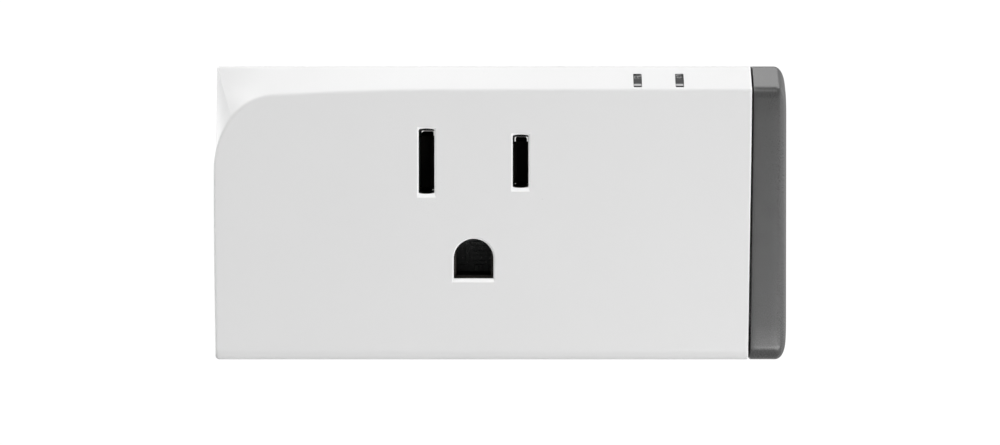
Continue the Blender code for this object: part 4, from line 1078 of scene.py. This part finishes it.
@dataclass
class Tray:
    """White wall-side tray with a soft rear edge, blade exits and screw recesses."""

    shape: CaseShape
    rear_round: float = 1.0 * MM
    edge_round: float = 0.15 * MM
    support: float = 0.3 * MM
    floor: float = 2.4 * MM
    wall_step: float = 0.6 * MM
    exit_gap: float = 0.12 * MM
    exit_flare: float = 0.25 * MM
    exit_corner: float = 0.3 * MM
    exit_depth: float = 0.35 * MM
    recess_gap: float = 0.3 * MM
    recess_depth: float = 1.6 * MM
    past: float = 1.0 * MM
    round_steps: int = 64
    edge_steps: int = 4
    side_steps: int = 5
    rear_steps: int = 10

    def loops(self) -> list[np.ndarray]:
        """Return the skin's loops, from the parting line round to the rear face."""
        s = self.shape
        edge = self.edge_round
        first = standing(s.outline(*(edge + self.support,) * 4, square=True), s.tray_front)
        tucked = standing(s.outline(*(edge,) * 4, square=True), s.tray_front)
        corner = standing(s.outline(0, 0, 0, 0, square=True), s.tray_front)
        after = corner + np.array([0.0, edge, 0.0])
        rounds = (self.rear_round, s.seam_corner, self.rear_round, self.rear_round)
        last = standing(s.outline(0, 0, 0, 0, square=True), s.rear)
        tucked_rear = standing(s.outline(*rounds, square=True), s.rear)
        reach = np.linalg.norm(tucked_rear - last, axis=1, keepdims=True)
        before = last - np.array([[0.0, 1.0, 0.0]]) * reach
        inner = tuple(r + self.support for r in rounds)
        middle = standing(s.outline(*inner, square=True), s.rear)
        return ([first] + bezier(tucked, corner, after, self.edge_steps)
                + between(after, before, self.side_steps)
                + bezier(before, last, tucked_rear, self.rear_steps) + [middle])

    def build(self) -> None:
        """Build the tray."""
        s = self.shape
        item = skin("wall_tray", self.loops())
        past = s.wall + (s.right - s.seam)
        room = s.outline(*(s.wall + self.wall_step,) * 4, square=True, past=past)
        tools = [skin("room", [standing(room, s.tray_front - self.past),
                               standing(room, s.rear - self.floor)]),
                 self.blade_exit("neutral_blade"), self.blade_exit("hot_blade"), self.pin_exit()]
        tools += [self.recess(f"screw_{number}") for number in (1, 2, 3)]
        carve(item, tools)
        keep(item, WHITE, Body.CASE, Slot.WHITE, "rear_housing")

    def blade_exit(self, blade: str) -> bpy.types.Object:
        """Return the cutter for a blade's exit, flared at the rear face.

        Args:
            blade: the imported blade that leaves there.
        """
        low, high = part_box(blade)
        middle = (low + high) / 2
        loops = []
        for depth, grow in ((-self.floor - self.past, 0.0), (-self.exit_depth, 0.0),
                            (0.0, self.exit_flare), (self.past, self.past)):
            gap = self.exit_gap + grow
            outline = rounded_rectangle((high.x - low.x) / 2 + gap, (high.z - low.z) / 2 + gap,
                                        self.exit_corner) + np.array([middle.x, middle.z])
            loops.append(standing(outline, self.shape.rear + depth))
        return skin("exit", loops)

    def pin_exit(self) -> bpy.types.Object:
        """Return the cutter for the earth pin's exit."""
        low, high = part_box("ground_pin")
        radius = (high.x - low.x) / 2 + self.exit_gap
        centre = ((low.x + high.x) / 2, self.shape.rear, (low.z + high.z) / 2)
        profile = np.array([(radius, -self.floor - self.past), (radius, -self.exit_depth),
                            (radius + self.exit_flare, 0.0), (radius + self.past, self.past)])
        return spun("pin_exit", profile, centre, "Y", self.round_steps)

    def recess(self, screw: str) -> bpy.types.Object:
        """Return the cutter for a screw head's recess, with a broken edge.

        Args:
            screw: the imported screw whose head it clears.
        """
        low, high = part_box(screw)
        gap = self.recess_gap
        radius = (high.x - low.x) / 2 + gap
        place = ((low.x + high.x) / 2, self.shape.rear, (low.z + high.z) / 2)
        profile = np.array([(radius, -self.recess_depth), (radius, -gap), (radius + gap, 0.0),
                            (radius + self.past, self.past - gap)])
        return spun("recess", profile, place, "Y", self.round_steps)


@dataclass
class Cap:
    """Grey end cap: the case's side profile run along X to a softly rounded end."""

    shape: CaseShape
    end_round_x: float = 1.5 * MM
    end_round_side: float = 2.5 * MM
    corner_rounds: tuple[float, ...] = (1.8 * MM, 1.1 * MM, 0.5 * MM, 1.0 * MM, 1.0 * MM)
    seam_round: float = 0.1 * MM
    support: float = 0.3 * MM
    spigot_gap: float = 0.3 * MM
    spigot_wall: float = 1.2 * MM
    spigot_length: float = 3.0 * MM
    flange_width: float = 1.0 * MM
    hole_gap: float = 0.3 * MM
    past: float = 1.0 * MM
    arc: int = 9
    edge_steps: int = 12
    seam_steps: int = 6
    end_steps: int = 16
    hole_steps: int = 96

    def profile(self, inset: float) -> np.ndarray:
        """Return the rounded Y-Z profile, moved in by inset.

        The five corners are those of the sharp profile moved in; each is replaced by a
        quadratic curve that starts and ends a set distance from it.

        Args:
            inset: how far each side moves in.

        Returns:
            Rows of (y, z), anticlockwise seen from -X.
        """
        s = self.shape
        slope = math.hypot(s.band_depth, s.band_drop)
        foot = s.face_top - inset * (slope - s.band_drop) / s.band_depth
        shoulder = s.shoulder + inset * (slope - s.band_depth) / s.band_drop
        corners = np.array([(s.front + inset, s.bottom + inset), (s.front + inset, foot),
                            (shoulder, s.top - inset), (s.rear - inset, s.top - inset),
                            (s.rear - inset, s.bottom + inset)])
        edges = np.roll(corners, -1, axis=0) - corners
        lengths = np.linalg.norm(edges, axis=1)
        room = 0.48 * np.minimum(lengths, np.roll(lengths, 1))
        reach = np.minimum(np.array(self.corner_rounds) + 0.45 * inset, room)[:, None]
        along = edges / lengths[:, None]
        starts = corners - np.roll(along, 1, axis=0) * reach
        ends = corners + along * reach
        parts = []
        for number, corner in enumerate(corners):
            parts.append(np.array(bezier(starts[number], corner, ends[number], self.arc)))
            limit = starts[(number + 1) % len(corners)]
            shares = np.linspace(0.0, 1.0, self.edge_steps)[1:-1, None]
            parts.append(ends[number] + (limit - ends[number]) * shares)
        return np.concatenate(parts)

    def at(self, inset: float, place: Callable[[np.ndarray], Any]) -> np.ndarray:
        """Stand the profile up.

        Args:
            inset: how far the profile moves in.
            place: the rule that gives X for each height.

        Returns:
            The loop's points.
        """
        rows = self.profile(inset)
        x = np.broadcast_to(place(rows[:, 1]), rows.shape[:1])
        return np.stack([x, rows[:, 0], rows[:, 1]], axis=1)

    def build(self) -> None:
        """Build the cap, its spigot, the room behind the button and the button's hole."""
        s = self.shape

        def seam(offset: float) -> Callable[[np.ndarray], np.ndarray]:
            """Return a rule for the X at a distance past the seam's far side."""
            return lambda z: s.seam_at(z) + s.seam_gap + offset

        r = self.seam_round
        loops = [self.at(r + self.support, seam(0.0))]
        loops += bezier(self.at(r, seam(0.0)), self.at(0.0, seam(0.0)), self.at(0.0, seam(r)),
                        self.seam_steps)
        start_x = s.right - self.end_round_x
        loops += between(self.at(0.0, seam(r)), self.at(0.0, lambda z: start_x), 5)
        for angle in np.linspace(0.0, 0.5 * math.pi, self.end_steps):
            x = s.right - self.end_round_x * (1.0 - math.sin(angle))
            inset = self.end_round_side * (1.0 - math.cos(angle))
            loops.append(self.at(inset, lambda z, x=x: x))
        loops.append(self.at(self.end_round_side + self.support, lambda z: s.right))
        item = skin("grey_cap", loops, 30.0)
        inner = s.wall + self.spigot_gap
        spigot = skin("spigot", [self.at(inner, seam(-s.seam_gap - self.spigot_length)),
                                 self.at(inner, seam(0.5 * MM))])
        inner += self.spigot_wall
        room = skin("room", [self.at(inner, seam(-s.seam_gap - self.spigot_length - self.past)),
                             self.at(inner, lambda z: s.right - s.wall)])
        hole = self.button_hole()
        carve(item, [spigot], "UNION", 30.0)
        carve(item, [room], smooth_angle=30.0)
        carve(item, [hole], smooth_angle=30.0)
        keep(item, GREY, Body.CASE, Slot.GREY, "end_cap")

    def button_hole(self) -> bpy.types.Object:
        """Return the cutter for the button's hole, with a broken edge."""
        low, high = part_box("power_button")
        gap = self.hole_gap
        radius = (high.y - low.y) / 2 - self.flange_width + gap
        centre = (self.shape.right, (low.y + high.y) / 2, (low.z + high.z) / 2)
        profile = np.array([(radius, -4.0 * self.past), (radius, -gap), (radius + gap, 0.0),
                            (radius + self.past, self.past - gap)])
        return spun("hole", profile, centre, "X", self.hole_steps)


@dataclass
class Button:
    """Power button: a crowned disc with a fine rim, its flange and its stem."""

    crown: float = 0.28 * MM
    rim: float = 0.35 * MM
    flange_width: float = 1.0 * MM
    flange_thickness: float = 1.0 * MM
    flange_from_face: float = 2.3 * MM
    stem: float = 2.0 * MM
    stem_edge: float = 0.1 * MM
    steps: int = 96

    def build(self) -> None:
        """Build the button from its packed box."""
        low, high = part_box("power_button")
        length = high.x - low.x
        flange = (high.y - low.y) / 2
        radius = flange - self.flange_width
        centre = (low.x, (low.y + high.y) / 2, (low.z + high.z) / 2)
        flange_face = length - self.flange_from_face
        flange_back = flange_face - self.flange_thickness
        share = np.linspace(0.02, 1.0, 26)
        dish_edge = radius - self.rim
        top = length - self.crown * share ** 2
        face = np.stack([dish_edge * share, top], axis=1)
        turn = np.linspace(0.0, 0.5 * math.pi, 8)[1:]
        rim = np.stack([dish_edge + self.rim * np.sin(turn),
                        length - self.crown - self.rim * (1 - np.cos(turn))], axis=1)
        stem, edge = self.stem, self.stem_edge
        rest = np.array([(radius, flange_face), (flange, flange_face), (flange, flange_back),
                         (stem, flange_back), (stem, edge), (stem - edge, 0.0)])
        item = spun("press_button", np.concatenate([face, rim, rest]), centre, "X", self.steps)
        keep(item, GREY, Body.BUTTON, Slot.GREY, "power_button")


@dataclass
class Prongs:
    """The two flat blades and the round earth pin."""

    corner: float = 0.22 * MM
    hole_radius: float = 1.5 * MM
    hole_from_tip: float = 5.8 * MM
    tip: float = 1.5 * MM
    slope: float = 0.45 * MM
    lit_start: float = 2.4 * MM
    root_edge: float = 0.2 * MM
    hole_sink: float = 0.15 * MM
    hole_past: float = 0.35 * MM
    pin_steps: int = 64
    hole_steps: int = 48

    def blade(self, node: str, name: str) -> None:
        """Build one blade: a rounded bar that narrows over its last stretch.

        At a share s of the tip, the bar is narrower by slope x s to the power 1.6.

        Args:
            node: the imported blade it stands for.
            name: the piece's name.
        """
        low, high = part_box(node)
        middle = (low + high) / 2
        half = Vector(((high.x - low.x) / 2, 0.0, (high.z - low.z) / 2))
        tip_start = high.y - self.tip
        places = np.concatenate([[low.y, low.y + self.root_edge],
                                 np.linspace(low.y + 5.0 * self.root_edge, tip_start, 12),
                                 tip_start + self.tip * np.linspace(0.0, 1.0, 9)[1:]])
        share = np.clip((places - tip_start) / self.tip, 0.0, 1.0)
        loops = []
        for y, s in zip(places, share):
            narrow = self.slope * s ** 1.6
            outline = rounded_rectangle(half.x - narrow, half.z - narrow * 0.6, self.corner, 6)
            loops.append(standing(outline + np.array([middle.x, middle.z]), y))
        item = skin(name, loops, 40.0)
        wide = self.hole_radius + self.hole_sink + self.hole_past
        inner, outer = half.x - self.hole_sink, half.x + self.hole_past
        profile = np.array([(wide, -outer), (self.hole_radius, -inner),
                            (self.hole_radius, inner), (wide, outer)])
        place = (middle.x, high.y - self.hole_from_tip, middle.z)
        tool = spun("hole", profile, place, "X", self.hole_steps)
        carve(item, [tool], smooth_angle=40.0)
        # painted shade on the blade's root inside the case
        shaded_finish = ShadedRootMetal("nickel_blade", NICKEL.colour, NICKEL.roughness,
                           lit_from=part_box("rear_housing")[1].y - self.lit_start)
        keep(item, shaded_finish, Body.CASE, Slot.NICKEL, node)

    def pin(self) -> None:
        """Build the earth pin: a bar whose nose is a quarter ellipse in section."""
        low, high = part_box("ground_pin")
        radius = (high.x - low.x) / 2
        length = high.y - low.y
        turn = np.linspace(0.0, 0.5 * math.pi, 20)[:-1]
        nose = np.stack([radius * np.cos(turn), length - radius + radius * np.sin(turn)], axis=1)
        body = np.array([(radius - self.root_edge, 0.0), (radius, self.root_edge)])
        tip = np.array([(0.02 * MM, length)])
        item = spun("earth_pin", np.concatenate([body, nose, tip]),
                    ((low.x + high.x) / 2, low.y, (low.z + high.z) / 2), "Y", self.pin_steps)
        keep(item, NICKEL, Body.CASE, Slot.NICKEL, "ground_pin")

    def build(self) -> None:
        """Build all three."""
        self.blade("neutral_blade", "neutral_prong")
        self.blade("hot_blade", "hot_prong")
        self.pin()


@dataclass
class Fasteners:
    """Pan-head case screws with a cross recess."""

    crown: float = 0.35
    recess: float = 0.8 * MM
    arm: float = 1.25 * MM
    blade: float = 0.32 * MM
    head_height: float = 1.4 * MM
    head_edge: float = 0.08 * MM
    shank: float = 1.2 * MM
    point: float = 0.2 * MM
    steps: int = 48

    def build(self) -> None:
        """Build the three screws from their packed boxes."""
        for number in (1, 2, 3):
            low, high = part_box(f"screw_{number}")
            head = (high.x - low.x) / 2
            shank, edge = self.shank, self.head_edge
            length = high.y - low.y
            turn = np.linspace(0.0, 0.5 * math.pi, 10)
            rise = self.head_height * self.crown
            seat = length - self.head_height
            dome = np.stack([head * np.sin(np.maximum(turn, 0.03)),
                             length - rise * (1 - np.cos(turn))], axis=1)[::-1]
            body = np.array([(self.point, 0.0), (shank, shank), (shank, seat),
                             (head - edge, seat), (head, seat + edge)])
            place = ((low.x + high.x) / 2, low.y, (low.z + high.z) / 2)
            item = spun(f"case_screw_{number}", np.concatenate([body, dome]), place, "Y", self.steps)
            tools = []
            for wide, tall in ((self.arm, self.blade), (self.blade, self.arm)):
                outline = rounded_rectangle(wide, tall, edge, 4)
                slim = rounded_rectangle(wide * 0.55, tall * 0.7, 0.05 * MM, 4)
                middle = np.array([place[0], place[2]])
                tools.append(skin("cross", [standing(slim + middle, high.y - self.recess),
                                            standing(outline + middle, high.y + self.point)]))
            carve(item, tools)
            keep(item, STEEL, Body.CASE, Slot.STEEL, f"screw_{number}")


@dataclass
class Windows:
    """Light pipes whose smoked heads sit just below the band."""

    shape: CaseShape
    rise: float = 1.7 * MM
    sunk: float = 0.1 * MM
    soft: float = 0.1 * MM
    head_length: float = 1.1 * MM
    neck: float = 2.2 * MM
    stem: float = 1.3 * MM

    def build(self) -> None:
        """Build both pipes: a stepped outline in Y and Z, run across X."""
        s = self.shape
        slope = s.band_depth / s.band_drop
        for side in ("left", "right"):
            low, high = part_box(f"light_pipe_{side}")
            foot_z = high.z - self.rise
            foot_y = s.front + (foot_z - s.face_top) * slope + self.sunk
            head_y = s.front + (high.z - s.face_top) * slope + self.sunk
            back_y = head_y - self.sunk + self.head_length
            step_y = back_y - self.neck
            stem_top = low.z + self.stem
            outline = np.array([(foot_y, foot_z), (head_y, high.z), (back_y, high.z),
                                (back_y, stem_top), (high.y, stem_top), (high.y, low.z),
                                (step_y, low.z), (step_y, foot_z)])
            loops = [np.stack([np.full(len(outline), x), outline[:, 0], outline[:, 1]], axis=1)
                     for x in (low.x, high.x)]
            item = skin(f"status_lens_{side}", loops)
            soften = item.modifiers.new("Soften", "BEVEL")
            soften.width = self.soft
            soften.segments = 3
            soften.limit_method = "ANGLE"
            lens = SmokedLens("smoked_lens", (0.022, 0.022, 0.023), 0.4, foot=foot_z, rise=self.rise)
            keep(item, lens, Body.CASE, Slot.CLEAR, f"light_pipe_{side}")


NICKEL = DrawnMetal("nickel_plate", (0.66, 0.64, 0.60), 0.27)
STEEL = DrawnMetal("zinc_steel", (0.48, 0.48, 0.49), 0.34, along=(1.0, 1.0, 1.0), line=0.3 * MM)
BRASS = DrawnMetal("brass_sheet", (0.66, 0.48, 0.21), 0.34)
# painted shade: the socket contacts are brass darkened to near black, as they sit in shade inside the
# case
CONTACT_IN_SHADE = DrawnMetal("brass_in_painted_shade", (0.034, 0.031, 0.026), 0.6, metallic=0.6)
COPPER = DrawnMetal("copper_strip", (0.72, 0.35, 0.22), 0.36, along=(0.06, 1.0, 1.0))


class Interior:
    """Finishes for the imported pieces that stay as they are."""

    def __init__(self) -> None:
        """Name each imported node's finish."""
        case = MouldedPlastic("relay_cover", (0.03, 0.06, 0.12), 0.4, flow=0.06)
        nylon = MouldedPlastic("white_nylon", (0.72, 0.71, 0.67), 0.5, flow=0.05)
        chip = MouldedPlastic("chip_epoxy", (0.02, 0.02, 0.021), 0.55, grain=0.09 * MM, flow=0.12)
        coat = MouldedPlastic("varistor_dip", (0.42, 0.05, 0.025), 0.32, grain=0.5 * MM,
                              grain_depth=0.03 * MM, flow=0.12, coat=0.4)
        ferrite = MouldedPlastic("ferrite", (0.05, 0.05, 0.054), 0.62, grain=0.3 * MM,
                                 grain_depth=0.02 * MM, flow=0.2)
        lamp = MouldedPlastic("lamp_epoxy", (0.8, 0.8, 0.74), 0.28, flow=0.04, coat=0.4)
        self.finishes: dict[str, Finish] = {
            "contact_carrier": BLACK, "blade_holder": BLACK, "relay_base": BLACK, "pin_header": BLACK,
            "tact_switch_body": BLACK, "relay_case": case, "film_capacitor": case,
            "relay_bobbin": nylon, "tact_switch_plunger": nylon, "wifi_chip": chip,
            "memory_chip": chip, "bridge_rectifier": chip, "supply_chip": chip,
            "metering_chip": chip, "voltage_regulator": chip, "varistor": coat,
            "inductor": ferrite, "led_left": lamp, "led_right": lamp,
            "main_board": Laminate("main_laminate", (0.005, 0.014, 0.009)),
            "control_board": Laminate("control_laminate", (0.005, 0.014, 0.009), across="Y"),
            "relay_winding": Winding("magnet_wire", (0.68, 0.26, 0.1)),
            "line_busbar": COPPER, "current_shunt": COPPER, "antenna": COPPER,
            "neutral_contact": CONTACT_IN_SHADE, "hot_contact": CONTACT_IN_SHADE,
            "ground_contact": CONTACT_IN_SHADE, "ground_strap": CONTACT_IN_SHADE,
            "relay_moving_contact": BRASS, "relay_fixed_contact": BRASS,
            "fuse": NICKEL, "crystal": STEEL, "relay_core": STEEL, "relay_yoke": STEEL,
            "relay_armature": STEEL,
        }
        for can in ("input_capacitor", "output_capacitor"):
            low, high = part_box(can)
            self.finishes[can] = Sleeve("can_sleeve", (0.02, 0.022, 0.03), 0.35,
                                        centre=(low.x + high.x) / 2)

    def build(self) -> None:
        """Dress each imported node."""
        for node, finish in self.finishes.items():
            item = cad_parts[node]
            item.data.materials.clear()
            item.data.materials.append(finish.material())
            LOG.info("%s: %s", node, finish.name)


# ---------------------------------------------------------------- studio


@dataclass(frozen=True)
class Softbox:
    """A soft rectangular light: its name, place, size and power."""

    name: str
    place: tuple[float, float, float]
    size: tuple[float, float]
    power: float


@dataclass(frozen=True)
class Studio:
    """Pale floor, soft lights and the camera."""

    scale: float = 7650.0
    distance: float = 0.70
    elevation: float = 1.5
    centre: tuple[float, float] = (3.46 * MM, -7.71 * MM)
    frame_width: int = 1000
    sensor: float = 36.0
    clip: tuple[float, float] = (0.01, 20.0)
    floor_half: float = 3.4
    floor_drop: float = 0.3
    floor_tone: float = 0.5
    floor_roughness: float = 0.9
    floor_seen: float = 0.84
    room_light: float = 0.54
    room_seen: float = 1.05
    aim: tuple[float, float, float] = (0.0, 0.0, -0.006)
    lamps: tuple[Softbox, ...] = (
        Softbox("back_top", (0.0, 0.56, 0.83), (1.4, 0.45), 3.85),
        Softbox("back_left", (-0.72, 0.72, 0.2), (1.3, 0.9), 3.8),
        Softbox("back_right", (0.85, 0.5, 0.1), (0.8, 0.9), 1.35),
        Softbox("over_left", (-0.3, -0.05, 0.95), (0.8, 0.55), 2.0),
        Softbox("far_left", (-0.66, 0.02, 0.7), (0.75, 0.75), 3.5),
        Softbox("top", (0.0, -0.36, 0.93), (1.0, 0.4), 1.4),
        Softbox("front", (0.4, -1.0, -0.2), (1.0, 0.4), 0.7),
        Softbox("near_low", (0.38, -0.5, -0.16), (0.9, 0.1), 2.5),
        Softbox("right", (0.9, -0.1, 0.0), (0.6, 0.6), 1.15),
    )

    def camera(self, front: float) -> None:
        """Stand the camera so that the front face is drawn at the set scale.

        Args:
            front: Y of the front face.
        """
        data = bpy.data.cameras.new("camera")
        item = bpy.data.objects.new("camera", data)
        bpy.context.scene.collection.objects.link(item)
        span = self.frame_width / self.scale
        data.sensor_width = self.sensor
        data.lens = self.sensor * self.distance / span
        lift = math.radians(self.elevation)
        target = Vector((self.centre[0], front, self.centre[1]))
        back = Vector((0.0, -math.cos(lift), math.sin(lift)))
        item.location = target + back * self.distance
        item.rotation_mode = "QUATERNION"
        item.rotation_quaternion = (-back).to_track_quat("-Z", "Y")
        data.clip_start, data.clip_end = self.clip
        bpy.context.scene.camera = item

    def floor(self, bottom: float) -> None:
        """Lay a wide pale floor well below the piece.

        It lights the piece as a grey floor does, and the camera sees it as near white.

        Args:
            bottom: Z of the case's underside.
        """
        mesh = bpy.data.meshes.new("floor")
        half = self.floor_half
        level = bottom - self.floor_drop
        square = ((-half, -half), (half, -half), (half, half), (-half, half))
        corners = [(x, y, level) for x, y in square]
        mesh.from_pydata(corners, [], [(0, 1, 2, 3)])
        item = bpy.data.objects.new("floor", mesh)
        bpy.context.scene.collection.objects.link(item)
        graph = Graph("pale_floor")
        graph.set(Base_Color=(self.floor_tone,) * 3, Roughness=self.floor_roughness)
        white = graph.tree.nodes.new("ShaderNodeEmission")
        white.inputs["Color"].default_value = (*(self.floor_seen,) * 3, 1.0)
        mix = graph.tree.nodes.new("ShaderNodeMixShader")
        out = graph.tree.nodes["Material Output"]
        seen = graph.node("ShaderNodeLightPath", {}, {}, "Is Camera Ray")
        graph.feed(mix.inputs[0], seen)
        graph.tree.links.new(graph.shader.outputs[0], mix.inputs[1])
        graph.tree.links.new(white.outputs[0], mix.inputs[2])
        graph.tree.links.new(mix.outputs[0], out.inputs["Surface"])
        mesh.materials.append(graph.material)

    def lamp(self, light: Softbox) -> None:
        """Hang one soft rectangular light, turned to the aim.

        Args:
            light: the light's name, place, size and power.
        """
        data = bpy.data.lights.new(light.name, "AREA")
        data.shape = "RECTANGLE"
        data.size, data.size_y = light.size
        data.energy = light.power
        item = bpy.data.objects.new(light.name, data)
        bpy.context.scene.collection.objects.link(item)
        item.location = light.place
        item.rotation_mode = "QUATERNION"
        item.rotation_quaternion = (Vector(self.aim) - Vector(light.place)).to_track_quat("-Z", "Y")
        item.visible_camera = False

    def world(self) -> None:
        """Light the room evenly, and show a white room to the camera."""
        world = bpy.data.worlds.new("studio")
        bpy.context.scene.world = world
        world.use_nodes = True
        tree = world.node_tree
        tree.nodes.clear()
        out = tree.nodes.new("ShaderNodeOutputWorld")
        mix = tree.nodes.new("ShaderNodeMixShader")
        path = tree.nodes.new("ShaderNodeLightPath")
        room = tree.nodes.new("ShaderNodeBackground")
        white = tree.nodes.new("ShaderNodeBackground")
        room.inputs["Color"].default_value = (1.0, 1.0, 1.0, 1.0)
        room.inputs["Strength"].default_value = self.room_light
        white.inputs["Strength"].default_value = self.room_seen
        white.inputs["Color"].default_value = (1.0, 1.0, 1.0, 1.0)
        tree.links.new(path.outputs["Is Camera Ray"], mix.inputs[0])
        tree.links.new(room.outputs[0], mix.inputs[1])
        tree.links.new(white.outputs[0], mix.inputs[2])
        tree.links.new(mix.outputs[0], out.inputs[0])

    def build(self, shape: CaseShape) -> None:
        """Build the whole studio.

        Args:
            shape: the case, whose front and underside the camera and floor go by.
        """
        bpy.context.scene.view_settings.view_transform = "Standard"
        self.world()
        self.floor(shape.bottom)
        self.camera(shape.front)
        for lamp in self.lamps:
            self.lamp(lamp)


def main() -> None:
    """Build the pieces in order, then the studio."""
    logging.basicConfig(level=logging.INFO, format="%(message)s")
    shape = CaseShape()
    Shell(shape).build()
    Tray(shape).build()
    Cap(shape).build()
    Button().build()
    Prongs().build()
    Fasteners().build()
    Windows(shape).build()
    Interior().build()
    Studio().build(shape)


if __name__ == "__main__":
    main()
